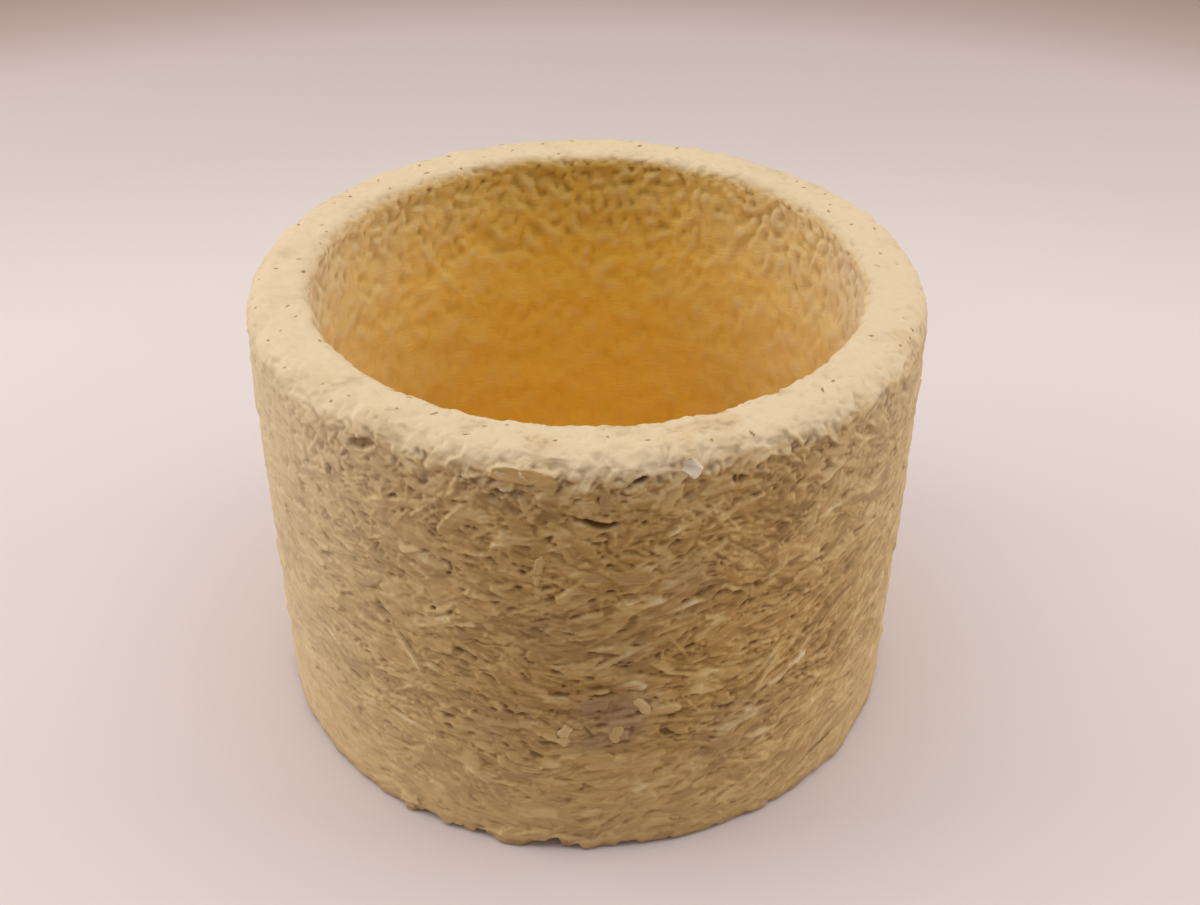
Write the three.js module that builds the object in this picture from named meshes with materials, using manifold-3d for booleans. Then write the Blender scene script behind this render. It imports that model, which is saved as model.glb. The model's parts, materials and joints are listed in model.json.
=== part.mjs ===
// A squat flower pot, grown in a mould from hemp chips that mycelium binds into one thick-walled
// cup. The body is a single grown piece. The larger chips that show at its face are pieces of their
// own, each bedded in a pocket of the wall that is cut by the chip's own outline.
// Millimetres, +Z up, origin at the middle of the foot, with the front of the pot towards -Y.
import * as THREE from "three";
import { mergeVertices } from "three/addons/utils/BufferGeometryUtils.js";
import Module from "manifold-3d";

const wasm = await Module();
wasm.setup();

// The cup
const OUTER_DIAMETER = 120;
const HEIGHT = 84;
const WALL = 11; // at the mouth
const FLOOR = 12;
const HOLLOW_DRAFT = 2; // how much the hollow's radius narrows from the mouth to the floor
const RIM_OUTER_ROUND = 4.5;
const RIM_INNER_ROUND = 2.5;
const FLOOR_CORNER_ROUND = 8;
const FOOT_ROUND = 1;
const TURN_SEGMENTS = 72;
const ARC_STEPS = 3; // to each eighth of a turn of a round in the section

// The chips in the wall
const CHIP_THICKNESS = 1.3;
const CHIP_PROUD = 0.5; // how far a chip stands out of the wall
const CHIP_CLEARANCE = 0.3; // between a chip and its pocket
const CHIP_TOP_SHARE = 0.86; // a chip's outer face against its inner face
const CUT_OVERSHOOT = 4; // how far a cutter runs out past the face that it opens
const WALL_MARGIN = 7; // bare wall above the foot's round and below the rim's round
const FOOT_CHIP_LEVEL = 3; // middle of the chips that curl out at the foot

// Chips spread by rule round the sides and back, where bearings are in degrees from the front
const SPREAD_COUNT = 40;
const SPREAD_FROM = 42;
const SPREAD_SWEEP = 276;
const SPREAD_LENGTH = [6, 13];
const SPREAD_WIDTH = [1.8, 3.6];
const SPREAD_TURN = [-42, 42];

// The torn edge of the foot
const BITE_COUNT = 14;
const BITE_SCATTER = 0.6; // as a share of the even step between two bites
const BITE_LENGTH = [4, 11];
const BITE_HEIGHT = 1.5;
const BITE_DEPTH = 1.6;

const OUTER_RADIUS = OUTER_DIAMETER / 2;
const MOUTH_RADIUS = OUTER_RADIUS - WALL;
const FLOOR_RADIUS = MOUTH_RADIUS - HOLLOW_DRAFT;

const MYCELIUM_SKIN = { color: 0xe4cda6, roughness: 0.9, metalness: 0 };
const BARE_CHIP = { color: 0xc8a878, roughness: 0.85, metalness: 0 };
const PALE_CHIP = { color: 0xe6d6c6, roughness: 0.85, metalness: 0 };

const degrees = THREE.MathUtils.degToRad;
const between = ([low, high], share) => low + (high - low) * share;

// Height on the plain wall, as a share of the band between its two bare margins
const WALL_BAND = [FOOT_ROUND + WALL_MARGIN, HEIGHT - RIM_OUTER_ROUND - WALL_MARGIN];
const rise = (share) => between(WALL_BAND, share);

// Even but irregular spacing: term n of a series that fills the range from 0 to 1
const SERIES_STEPS = { place: 0.618034, length: 0.754878, width: 0.56984, turn: 0.324718 };
const scatter = (n, series) => ((n + 1) * SERIES_STEPS[series]) % 1;

// A three.js geometry as a solid that can be cut
function solid(geometry) {
  const bare = geometry.clone();
  bare.deleteAttribute("normal");
  bare.deleteAttribute("uv");
  const merged = mergeVertices(bare);
  const corners = merged.index.array;
  const kept = [];
  for (let i = 0; i < corners.length; i += 3) {
    const [a, b, c] = corners.slice(i, i + 3);
    const hasArea = a !== b && b !== c && c !== a; // a turned section ends in slivers on its axis
    if (hasArea) kept.push(a, b, c);
  }
  const triVerts = new Uint32Array(kept);
  const vertProperties = merged.attributes.position.array;
  return new wasm.Manifold(new wasm.Mesh({ numProp: 3, vertProperties, triVerts }));
}

function geometryOf(body) {
  const { vertProperties, triVerts } = body.getMesh();
  const geometry = new THREE.BufferGeometry();
  geometry.setAttribute("position", new THREE.BufferAttribute(vertProperties, 3));
  geometry.setIndex(new THREE.BufferAttribute(triVerts, 1));
  geometry.computeVertexNormals();
  return geometry;
}

// The cup's half section, from the middle of the foot, out, up, over the rim and down to the floor
function cupGeometry() {
  const section = new THREE.Path();
  const quarter = Math.PI / 2;
  const round = (x, y, radius, from, to) => section.absarc(x, y, radius, from, to, to < from);
  section.moveTo(0, 0);
  section.lineTo(OUTER_RADIUS - FOOT_ROUND, 0);
  round(OUTER_RADIUS - FOOT_ROUND, FOOT_ROUND, FOOT_ROUND, -quarter, 0);
  round(OUTER_RADIUS - RIM_OUTER_ROUND, HEIGHT - RIM_OUTER_ROUND, RIM_OUTER_ROUND, 0, quarter);
  round(MOUTH_RADIUS + RIM_INNER_ROUND, HEIGHT - RIM_INNER_ROUND, RIM_INNER_ROUND, quarter, 2 * quarter);
  round(FLOOR_RADIUS - FLOOR_CORNER_ROUND, FLOOR + FLOOR_CORNER_ROUND, FLOOR_CORNER_ROUND, 0, -quarter);
  section.lineTo(0, FLOOR);
  return new THREE.LatheGeometry(section.getPoints(ARC_STEPS), TURN_SEGMENTS).rotateX(quarter);
}

// The outline of a split hemp chip lying flat: a long plate with a splintered slant at each end
function chipOutline(length, width) {
  const end = length / 2;
  const side = width / 2;
  return [
    [-end, -0.5 * side],
    [-0.78 * end, -side],
    [0.7 * end, -0.92 * side],
    [end, -0.2 * side],
    [0.8 * end, 0.8 * side],
    [-0.56 * end, side],
    [-0.94 * end, 0.36 * side],
  ].map(([x, y]) => new THREE.Vector2(x, y));
}

// The same outline with every edge moved out by a distance and its corners kept sharp
function grown(outline, distance) {
  const outward = (a, b) => new THREE.Vector2(b.y - a.y, a.x - b.x).normalize();
  return outline.map((corner, i) => {
    const before = outward(outline.at(i - 1), corner);
    const after = outward(corner, outline[(i + 1) % outline.length]);
    const reach = distance / (1 + before.dot(after));
    return corner.clone().addScaledVector(before.add(after), reach);
  });
}

// An outline drawn out from one level to another, with the outer end at a share of its size
function plate(outline, low, high, topShare = 1) {
  const shape = new THREE.Shape(outline);
  const geometry = new THREE.ExtrudeGeometry(shape, { depth: high - low, bevelEnabled: false });
  const corners = geometry.attributes.position;
  for (let i = 0; i < corners.count; i++) {
    const share = corners.getZ(i) > 0 ? topShare : 1;
    corners.setXY(i, corners.getX(i) * share, corners.getY(i) * share);
  }
  return geometry.translate(0, 0, low);
}

const pot = new THREE.Group();
const cutters = [];

// A seat on the outside of the pot, with its +Z pointing out of the face. The bearing turns from
// the front towards +X. A seat is at a height on the wall, or climbs the rim's round by an angle.
function seatOn({ bearing, height, climb }) {
  const seat = new THREE.Group();
  if (climb === undefined) {
    seat.position.set(0, -OUTER_RADIUS, height);
    seat.rotation.x = Math.PI / 2;
  } else {
    const angle = degrees(climb);
    const inset = RIM_OUTER_ROUND * (1 - Math.cos(angle));
    const drop = RIM_OUTER_ROUND * (1 - Math.sin(angle));
    seat.position.set(0, inset - OUTER_RADIUS, HEIGHT - drop);
    seat.rotation.x = Math.PI / 2 - angle;
  }
  const turned = new THREE.Group();
  turned.rotation.z = degrees(bearing);
  turned.add(seat);
  pot.add(turned);
  return seat;
}

// Marks a pocket to be cut at a seat, down to a depth below the face. Turn is its slant on the
// face, and tip swings its lower edge out.
function cutPocket(seat, outline, depth, { turn = 0, tip = 0 }) {
  const place = new THREE.Object3D();
  place.rotation.set(degrees(-tip), 0, degrees(turn));
  seat.add(place);
  place.updateWorldMatrix(true, false);
  cutters.push(solid(plate(outline, -depth, CUT_OVERSHOOT).applyMatrix4(place.matrixWorld)));
  seat.remove(place);
}

// One chip in its pocket
function bedChip({ name, length, width, turn = 0, tip = 0, finish = BARE_CHIP, ...place }) {
  const seat = seatOn(place);
  const outline = chipOutline(length, width);
  const bed = CHIP_THICKNESS - CHIP_PROUD;
  const geometry = plate(outline, -bed, CHIP_PROUD, CHIP_TOP_SHARE);
  const chip = new THREE.Mesh(geometry, new THREE.MeshStandardMaterial(finish));
  chip.name = name;
  chip.rotation.set(degrees(-tip), 0, degrees(turn));
  seat.add(chip);
  cutPocket(seat, grown(outline, CHIP_CLEARANCE), bed + CHIP_CLEARANCE, { turn, tip });
}

// Chips that stand out on the front
const FRONT_CHIPS = [
  { name: "pale_rim_chip", bearing: 15, climb: 24, length: 3.4, width: 2.4, turn: -40, finish: PALE_CHIP },
  { name: "facet_rim_chip", bearing: -9, climb: 18, length: 12, width: 2.6, turn: -3 },
  { name: "upright_rim_chip", bearing: 2.4, height: rise(1.07), length: 4.6, width: 1.9, turn: 78 },
  { name: "upright_front_chip", bearing: -7.2, height: rise(0.86), length: 7, width: 1.9, turn: 82 },
  { name: "broad_front_chip", bearing: 4.6, height: rise(0.84), length: 13, width: 3.4, turn: 2 },
  { name: "slanted_left_chip", bearing: -17, height: rise(0.69), length: 9, width: 2.2, turn: -34 },
  { name: "slanted_right_chip", bearing: 22, height: rise(0.62), length: 10, width: 2, turn: 30 },
  { name: "broad_cluster_chip", bearing: 1.2, height: rise(0.43), length: 6, width: 3.4, turn: 20 },
  { name: "hooked_cluster_chip", bearing: 8.8, height: rise(0.41), length: 5.4, width: 2, turn: -58 },
  { name: "small_cluster_chip", bearing: -3.4, height: rise(0.33), length: 3.8, width: 2.4, turn: 62 },
  { name: "upright_cluster_chip", bearing: 4.4, height: rise(0.32), length: 4.6, width: 2.4, turn: 80 },
  { name: "long_low_chip", bearing: 3, height: rise(0.23), length: 12, width: 2.4, turn: -2 },
  { name: "low_left_chip", bearing: -24, height: rise(0.2), length: 8, width: 2.6, turn: 14 },
  { name: "low_right_chip", bearing: 26, height: rise(0.24), length: 8.5, width: 2.2, turn: 36 },
  { name: "foot_lip_chip", bearing: -10, height: FOOT_CHIP_LEVEL, length: 10, width: 3, turn: 3, tip: 8 },
  { name: "foot_left_chip", bearing: -32, height: FOOT_CHIP_LEVEL, length: 4.4, width: 2.4, tip: 8 },
];
FRONT_CHIPS.forEach(bedChip);

// Chips round the sides and back, every other one lying end for end
for (let n = 0; n < SPREAD_COUNT; n++) {
  bedChip({
    name: `wall_chip_${String(n + 1).padStart(2, "0")}`,
    bearing: SPREAD_FROM + SPREAD_SWEEP * scatter(n, "place"),
    height: rise((n + 0.5) / SPREAD_COUNT),
    length: between(SPREAD_LENGTH, scatter(n, "length")),
    width: between(SPREAD_WIDTH, scatter(n, "width")),
    turn: between(SPREAD_TURN, scatter(n, "turn")) + 180 * (n % 2),
  });
}

// Hollows that a lost chip has left: the dark slots of the front
const EMPTY_POCKETS = [
  { bearing: 1.8, height: rise(1), length: 11, width: 1.5, turn: -6 },
  { bearing: 7.6, climb: 12, length: 3.4, width: 1.6, turn: 28 },
  { bearing: -35, climb: 4, length: 5, width: 2, turn: 10 },
  { bearing: 45, height: rise(-0.02), length: 10, width: 1.8, turn: 8 },
];
for (const { length, width, turn, ...place } of EMPTY_POCKETS) {
  cutPocket(seatOn(place), chipOutline(length, width), CHIP_THICKNESS, { turn });
}

// Bites that the mould has torn out of the foot's edge
for (let n = 0; n < BITE_COUNT; n++) {
  const bearing = (360 * (n + BITE_SCATTER * scatter(n, "place"))) / BITE_COUNT;
  const outline = chipOutline(between(BITE_LENGTH, scatter(n, "length")), 2 * BITE_HEIGHT);
  cutPocket(seatOn({ bearing, height: 0 }), outline, BITE_DEPTH, {});
}

const cutBody = cutters.reduce((body, cutter) => body.subtract(cutter), solid(cupGeometry()));
const potBody = new THREE.Mesh(geometryOf(cutBody), new THREE.MeshStandardMaterial(MYCELIUM_SKIN));
potBody.name = "pot_body";
pot.add(potBody);

export default pot;
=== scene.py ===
# %% [markdown]
# # A flower pot grown from hemp chips
# The real pot is pressed from split hemp stems and then grown solid by mycelium, the root threads of a
# fungus. So it has one body, but its face is a bed of thousands of small chips under a thin, soft skin.
# This lesson builds it in that order: the light, the bed of chips, the larger chips that the solid model
# already names, the skin draped over them all, and what growth and wear have done to it, with some light
# and shade painted into its colours.

# %% Load the frame
import json
import math
from functools import partial

import bmesh
import bpy
import numpy as np
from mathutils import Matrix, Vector, noise

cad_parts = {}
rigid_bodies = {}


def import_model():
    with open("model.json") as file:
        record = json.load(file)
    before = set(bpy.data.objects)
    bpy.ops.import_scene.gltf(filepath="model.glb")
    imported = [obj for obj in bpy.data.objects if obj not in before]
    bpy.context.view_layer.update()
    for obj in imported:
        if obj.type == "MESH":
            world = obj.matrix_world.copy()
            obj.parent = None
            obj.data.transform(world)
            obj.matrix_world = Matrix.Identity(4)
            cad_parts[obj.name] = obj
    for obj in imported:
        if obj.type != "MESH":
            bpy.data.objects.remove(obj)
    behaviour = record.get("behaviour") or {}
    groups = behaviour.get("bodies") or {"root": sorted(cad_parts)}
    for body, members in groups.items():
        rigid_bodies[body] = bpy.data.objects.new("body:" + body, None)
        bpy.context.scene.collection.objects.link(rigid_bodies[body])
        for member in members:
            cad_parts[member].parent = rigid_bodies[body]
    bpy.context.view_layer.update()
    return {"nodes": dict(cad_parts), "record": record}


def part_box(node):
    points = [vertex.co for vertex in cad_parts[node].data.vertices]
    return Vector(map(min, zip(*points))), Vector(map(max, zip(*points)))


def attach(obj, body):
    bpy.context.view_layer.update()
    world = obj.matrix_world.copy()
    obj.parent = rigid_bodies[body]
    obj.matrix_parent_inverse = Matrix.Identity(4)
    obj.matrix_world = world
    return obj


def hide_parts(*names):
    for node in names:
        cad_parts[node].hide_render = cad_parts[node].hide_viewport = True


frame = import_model()

# %% [markdown]
# ## Sizes
# Everything is in metres. The outside comes from the solid model's own box and the floor from its mount,
# so the dressed pot can't drift from the solids. Only the section's rounds are repeated here.

# %% Sizes of the cup
MM = 0.001
body_low, body_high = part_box("pot_body")
OUTER_RADIUS = (body_high.x - body_low.x) / 2
HEIGHT = body_high.z
FLOOR = next(m["pos_m"][2] for m in frame["record"]["mounts"] if m["name"] == "floor_inside")
WALL, HOLLOW_DRAFT = 11 * MM, 2 * MM
RIM_OUTER_ROUND, RIM_INNER_ROUND = 4.5 * MM, 2.5 * MM
FLOOR_CORNER_ROUND, FOOT_ROUND = 8 * MM, 1 * MM
MOUTH_RADIUS = OUTER_RADIUS - WALL
FLOOR_RADIUS = MOUTH_RADIUS - HOLLOW_DRAFT
print(f"cup {2 * OUTER_RADIUS / MM:.0f} mm across, {HEIGHT / MM:.0f} mm high, floor {FLOOR / MM:.0f} mm")

# %% [markdown]
# ## Small helpers
# Colours are written as they look on a screen, in sRGB hex, and shaders want them linear. Node trees are
# easier to read when one line makes a node, sets it and links it, so one function does that for every kind.

# %% Colour and node helpers
FAMILIES = ("ShaderNode", "GeometryNode", "FunctionNode", "")


def linear(hex_colour):
    """A screen colour as the linear values that shaders want."""
    parts = [int(hex_colour[i:i + 2], 16) / 255 for i in (1, 3, 5)]
    return tuple(p / 12.92 if p <= 0.04045 else ((p + 0.055) / 1.055) ** 2.4 for p in parts) + (1.0,)


def add(tree, kind, inputs=(), **settings):
    """Adds a node of a kind, with any operation after a space. Inputs go in order or by name."""
    kind, *operation = kind.split()
    family = next(f for f in FAMILIES if hasattr(bpy.types, f + kind))
    node = tree.nodes.new(family + kind)
    if operation:
        node.operation = operation[0]
    for name, value in settings.items():
        setattr(node, name, value)
    for key, value in inputs.items() if isinstance(inputs, dict) else enumerate(inputs):
        named = [s for s in node.inputs if s.enabled and s.name == key]
        socket = named[0] if named else node.inputs[key]
        if isinstance(value, bpy.types.Node):
            value = next(s for s in value.outputs if s.enabled)
        if isinstance(value, bpy.types.NodeSocket):
            tree.links.new(value, socket)
        else:
            socket.default_value = value
    return node


def spread_stops(ramp, stops):
    """Gives a colour ramp its stops, as (place, hex colour)."""
    while len(ramp.elements) < len(stops):
        ramp.elements.new(1.0)
    for element, (place, colour) in zip(ramp.elements, stops):
        element.position = place
        element.color = linear(colour)


def matt_material(name, roughness, shine):
    """A new matt material, with its node tree and its shader."""
    material = bpy.data.materials.new(name)
    material.use_nodes = True
    shader = material.node_tree.nodes["Principled BSDF"]
    shader.inputs["Roughness"].default_value = roughness
    shader.inputs["Specular IOR Level"].default_value = shine
    return material, material.node_tree, shader


print("middle grey", [round(v, 3) for v in linear("#808080")])

# %% [markdown]
# ## The camera
# The view looks down into the mouth from the front. Its place and angles were worked out from the edges
# of the rim, the mouth and the foot, so the cup's outline falls where it should.

# %% Camera
CAMERA_PLACE = (0.0, -234.7 * MM, 208.5 * MM)
CAMERA_TURN = (54.92, -0.36, -0.35)
camera_data = bpy.data.cameras.new("camera")
camera_data.lens = 44.4
camera_data.sensor_width = 36.0
camera_data.sensor_fit = "HORIZONTAL"
camera_data.clip_start = 0.01
camera = bpy.data.objects.new("camera", camera_data)
camera.location = CAMERA_PLACE
camera.rotation_euler = [math.radians(a) for a in CAMERA_TURN]
bpy.context.collection.objects.link(camera)
bpy.context.scene.camera = camera
print("camera", [round(v, 4) for v in camera.location])

# %% [markdown]
# ## The sheet
# The pot stands in a light tent, on one pale sheet of matt paper. Its colour is painted darker further
# out, as painted shade worked out from the distance, and the far part, which only the camera sees, melts
# into the wall of the tent.

# %% Sheet under the pot
SHEET_RADIUS, SHEET_SIDES = 3.0, 96
# Painted shade: the sheet's colour darkens further out to the sides and back, in place of light falling off
# from the lamps.
SHEET_SHADES = [(0.27, "#DBCECB"), (0.36, "#D1C3BE"), (0.465, "#CFBDB8"), (0.515, "#BFA8A1"), (0.60, "#A88D85")]
SHADE_FROM = -0.1
FAR_SHADE = "#C6B3AD"
FAR_FROM, FAR_TO = 0.52, 0.75
sheet_turns = [i * 2 * math.pi / SHEET_SIDES for i in range(SHEET_SIDES)]
sheet_mesh = bpy.data.meshes.new("tent_sheet")
sheet_mesh.from_pydata([(SHEET_RADIUS * math.cos(t), SHEET_RADIUS * math.sin(t), 0.0) for t in sheet_turns], [],
                       [list(range(SHEET_SIDES))])
tent_sheet = bpy.data.objects.new("tent_sheet", sheet_mesh)
bpy.context.collection.objects.link(tent_sheet)
# Paper has almost no shine, so the sheet shows only soft shadows.
paper, paper_tree, paper_shader = matt_material("matt_paper", roughness=0.95, shine=0.1)
lay = partial(add, paper_tree)
place = lay("TexCoord").outputs["Object"]
spot = lay("SeparateXYZ", (place,)).outputs
behind = lay("Math SUBTRACT", (spot["Y"], SHADE_FROM))
behind = lay("Math MAXIMUM", (behind, 0.0))
away = lay("VectorMath LENGTH", (lay("CombineXYZ", (spot["X"], behind)),)).outputs["Value"]
shade = lay("ValToRGB", {"Fac": away})
spread_stops(shade.color_ramp, SHEET_SHADES)
paper_tree.links.new(shade.outputs["Color"], paper_shader.inputs["Base Color"])
seen = lay("LightPath").outputs["Is Camera Ray"]
distance = lay("VectorMath LENGTH", (place,)).outputs["Value"]
far = lay("MapRange", (distance, FAR_FROM, FAR_TO, 0.0, seen), interpolation_type="SMOOTHSTEP")
haze = lay("Emission", {"Color": linear(FAR_SHADE)})
melting = lay("MixShader", (far, paper_shader, haze))
paper_tree.links.new(melting.outputs[0], paper_tree.nodes["Material Output"].inputs["Surface"])
sheet_mesh.materials.append(paper)
print("sheet", SHEET_RADIUS * 2, "m across")

# %% [markdown]
# ## The lamps
# A broad lamp overhead and one at each side light the tent. The open front gives little light, so the side
# that we see stays the darker one, and the light from above rakes down the wall and picks out the chips.

# %% Lamps
SIDE_LAMP = {"aim": (0.0, 0.0, 0.04), "size": (0.4, 0.45)}
LAMPS = {
    "overhead": {"place": (0.0, 0.02, 0.75), "aim": (0.0, 0.0, 0.05), "size": (0.85, 0.75), "power": 3.34},
    "left": SIDE_LAMP | {"place": (-0.6, 0.03, 0.26), "power": 2.2},
    "right": SIDE_LAMP | {"place": (0.6, 0.03, 0.26), "power": 1.7},
}
TENT_LIGHT, TENT_STRENGTH = "#FCF8F6", 0.4
for name, lamp in LAMPS.items():
    data = bpy.data.lights.new(name, "AREA")
    data.shape = "RECTANGLE"
    data.size, data.size_y = lamp["size"]
    data.energy = lamp["power"]
    lamp_object = bpy.data.objects.new(name, data)
    lamp_object.location = lamp["place"]
    aim = Vector(lamp["aim"]) - Vector(lamp["place"])
    lamp_object.rotation_euler = aim.to_track_quat("-Z", "Y").to_euler()
    bpy.context.collection.objects.link(lamp_object)
world = bpy.data.worlds.new("tent")
world.use_nodes = True
tent = world.node_tree.nodes["Background"]
tent.inputs["Color"].default_value = linear(TENT_LIGHT)
tent.inputs["Strength"].default_value = TENT_STRENGTH
backdrop = add(world.node_tree, "Background", {"Color": linear(FAR_SHADE)})
seen = add(world.node_tree, "LightPath").outputs["Is Camera Ray"]
sky = add(world.node_tree, "MixShader", (seen, tent, backdrop))
world.node_tree.links.new(sky.outputs[0], world.node_tree.nodes["World Output"].inputs["Surface"])
bpy.context.scene.world = world
bpy.context.scene.view_settings.view_transform = "Standard"
print("lamps", ", ".join(LAMPS))

# %% [markdown]
# ## Colours of hemp and felt
# Hemp hurd is the woody core of the stem, straw to brown. The mycelium over it is cream, thick on the rim
# and thin on the wall, where the chips' own browns show through. Each point of a mesh carries shares, as
# attributes, of the things that colour it, and one function lays those coats over the chip's tint. Some
# coats are painted light and shade: paler flanks and foot, a golden glow of bounced light inside, paler
# upper edges and darker crevices.

# %% Coats of colour
HURD_STOPS = [(0.0, "#6E4D1D"), (0.25, "#997339"), (0.55, "#B99051"), (0.85, "#CEAD72"), (1.0, "#E0CCA2")]
PALE_STOPS = [(0.0, "#8E6F52"), (0.5, "#E0CBB0"), (1.0, "#F3E6D0")]
SIDE, STRAW, PAINTED_CREVICE_SHADE = "#CBB794", "#D6B583", "#6A4519"  # painted light on the flanks, painted light at the foot, painted shade in crevices
# Damp leaves grey-brown stains, gold is painted light bounced round the hollow, thick felt is cream, and bare
# specks are tan.
COATS = {"stain": "#8F7462", "warm": "#F1C64F", "cream": "#D9C29E", "fleck": "#94703C"}
# Painted light: the flanks are painted paler, as if lit more than the shaded front, and so is the foot, as if
# lit from the floor.
PALE_TURN, PALEST_BEHIND = math.radians(15), 15 * MM
PAINTED_LIGHT_ASIDE = (75 * MM, 25 * MM, 0.75)  # distance where it starts, where it is full, and its most
PAINTED_LIGHT_LOW = (34 * MM, 0.0, 0.5)  # height where it starts, where it is full, and its most


def hurd_colour(tree, tint, depth, stops):
    """The colour of a chip or of the skin on it: its tint, painted paler to the sides and foot as painted
    light, then its coats, and last the painted shade of crevices.
    """
    put = partial(add, tree)
    ramp = put("ValToRGB", {"Fac": tint})
    spread_stops(ramp.color_ramp, stops)
    turned = put("Mapping", {"Vector": put("TexCoord").outputs["Object"], "Rotation": (0.0, 0.0, -PALE_TURN)})
    spot = put("SeparateXYZ", (turned,)).outputs
    away = put("Math SUBTRACT", (spot["Y"], PALEST_BEHIND))
    away = put("Math ABSOLUTE", (away,))
    coats = []
    for far, (bare, full, most), pale in ((away, PAINTED_LIGHT_ASIDE, SIDE), (spot["Z"], PAINTED_LIGHT_LOW, STRAW)):
        coats.append((put("MapRange", (far, bare, full, 0.0, most)), pale))
    coats += [(put("Attribute", attribute_name=layer).outputs["Fac"], coat) for layer, coat in COATS.items()]
    colour = ramp.outputs["Color"]
    for share, coat in coats + [(depth, PAINTED_CREVICE_SHADE)]:
        colour = put("Mix", {"Factor": share, "A": colour, "B": linear(coat)}, data_type="RGBA").outputs[2]
    return colour


print("coats over the tint:", "side, straw,", ", ".join(COATS), "and crevice")

# %% [markdown]
# ## The two finishes
# A split chip shows fine fibres along its own length, so its material reads the chip's lengthwise
# coordinate. The felt has a short grain that lies level and sinks to the sides, as the mix was packed. Both
# are quite matt. The pattern shifts the tint a little and stands up by a fraction of a millimetre.

# %% Hemp hurd and mycelium skin
FIBRE_WIDTH, FIBRE_STRETCH = 0.4 * MM, 0.12
GRAIN_WIDTH, GRAIN_LENGTH = 0.36 * MM, 1.8 * MM
SAG = 0.25


def sunken(put, spot):
    """A place whose level sinks to the sides."""
    aside = put("Math ABSOLUTE", (spot["X"],))
    level = put("Math MULTIPLY_ADD", (aside, -SAG, spot["Z"]))
    return put("CombineXYZ", (spot["X"], spot["Y"], level))


def split_fibres(put):
    """Fine lines along a chip."""
    along = put("Attribute", attribute_name="fibre").outputs["Vector"]
    stretched = put("Mapping", {"Vector": along, "Scale": (FIBRE_STRETCH, 1.0, 1.0)})
    return put("TexNoise", {"Vector": stretched, "Scale": 1 / FIBRE_WIDTH, "Detail": 2.0})


def felt_grain(put):
    """Short, soft strokes that lie level."""
    spot = put("SeparateXYZ", (put("TexCoord").outputs["Object"],)).outputs
    finer = (1 / GRAIN_LENGTH, 1 / GRAIN_LENGTH, 1 / GRAIN_WIDTH)
    lain = put("Mapping", {"Vector": sunken(put, spot), "Scale": finer})
    return put("TexNoise", {"Vector": lain, "Scale": 1.0, "Detail": 3.0, "Distortion": 0.5})


def hurd_finish(name, pattern, stops, roughness, shine, tinting, strength, relief):
    """A matt finish whose pattern shifts the tint and stands up a little."""
    material, tree, shader = matt_material(name, roughness, shine)
    put = partial(add, tree)
    fine = pattern(put).outputs["Fac"]
    tint, sunk = (put("Attribute", attribute_name=layer).outputs["Fac"] for layer in ("tint", "depth"))
    shift = put("Math SUBTRACT", (fine, 0.5))
    shifted = put("Math MULTIPLY_ADD", (shift, tinting, tint))
    tree.links.new(hurd_colour(tree, shifted, sunk, stops), shader.inputs["Base Color"])
    bump = put("Bump", {"Height": fine, "Strength": strength, "Distance": relief})
    tree.links.new(bump.outputs["Normal"], shader.inputs["Normal"])
    return material


# Split hemp has a faint sheen along its fibres. The felt is duller, and its grain stands up more.
SPLIT = {"roughness": 0.6, "shine": 0.35, "tinting": 0.5, "strength": 0.5, "relief": 0.15 * MM}
FELT = {"roughness": 0.72, "shine": 0.3, "tinting": 0.35, "strength": 0.7, "relief": 0.2 * MM}
HURD = hurd_finish("hemp_hurd", split_fibres, HURD_STOPS, **SPLIT)
PALE_HURD = hurd_finish("bleached_hemp_hurd", split_fibres, PALE_STOPS, **SPLIT)
SKIN = hurd_finish("mycelium_felt", felt_grain, HURD_STOPS, **FELT)
print("materials", HURD.name, PALE_HURD.name, SKIN.name)

# %% [markdown]
# ## The cup's section
# A pot is a turned shape, so one half section, swept round, gives every surface that we need: the whole
# cup for the skin, and bare stretches of it to lay chips on. Each point of the section keeps the way out
# of the face, because chips lie across it and the skin moves along it.

# %% Lines and rounds of the section
def straight(start, end, step):
    """Evenly spaced points of a line."""
    count = max(1, round(math.dist(start, end) / step))
    return [(start[0] + (end[0] - start[0]) * i / count, start[1] + (end[1] - start[1]) * i / count)
            for i in range(count + 1)]


def rounded(centre, radius, first, last, step):
    """Evenly spaced points of an arc, from one angle to another in degrees."""
    count = max(2, round(radius * math.radians(abs(last - first)) / step))
    turns = [math.radians(first + (last - first) * i / count) for i in range(count + 1)]
    return [(centre[0] + radius * math.cos(t), centre[1] + radius * math.sin(t)) for t in turns]


def ways_out(points):
    """The outward direction at each point of a section that runs up the outside and down the inside."""
    run = np.gradient(np.array(points), axis=0)
    run /= np.linalg.norm(run, axis=1)[:, None]
    return np.stack([run[:, 1], -run[:, 0]], axis=1)


print("ways out of an upright line", ways_out(straight((1, 0), (1, 2), 1)).tolist())

# %% [markdown]
# ## Turning it
# Carried round, the section becomes rows and columns of points. A mesh can be filled from such arrays at
# once, which is much quicker than point by point when there are a million faces.

# %% Turned meshes
def grid_quads(rows, columns, ring=False):
    """The four corners of each face of a grid of points that closes on itself around, and if asked up too."""
    row, column = np.meshgrid(np.arange(rows if ring else rows - 1), np.arange(columns), indexing="ij")
    here, above, after = row * columns, (row + 1) % rows * columns, (column + 1) % columns
    return np.stack([here + column, here + after, above + after, above + column], axis=2).reshape(-1, 4)


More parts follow.
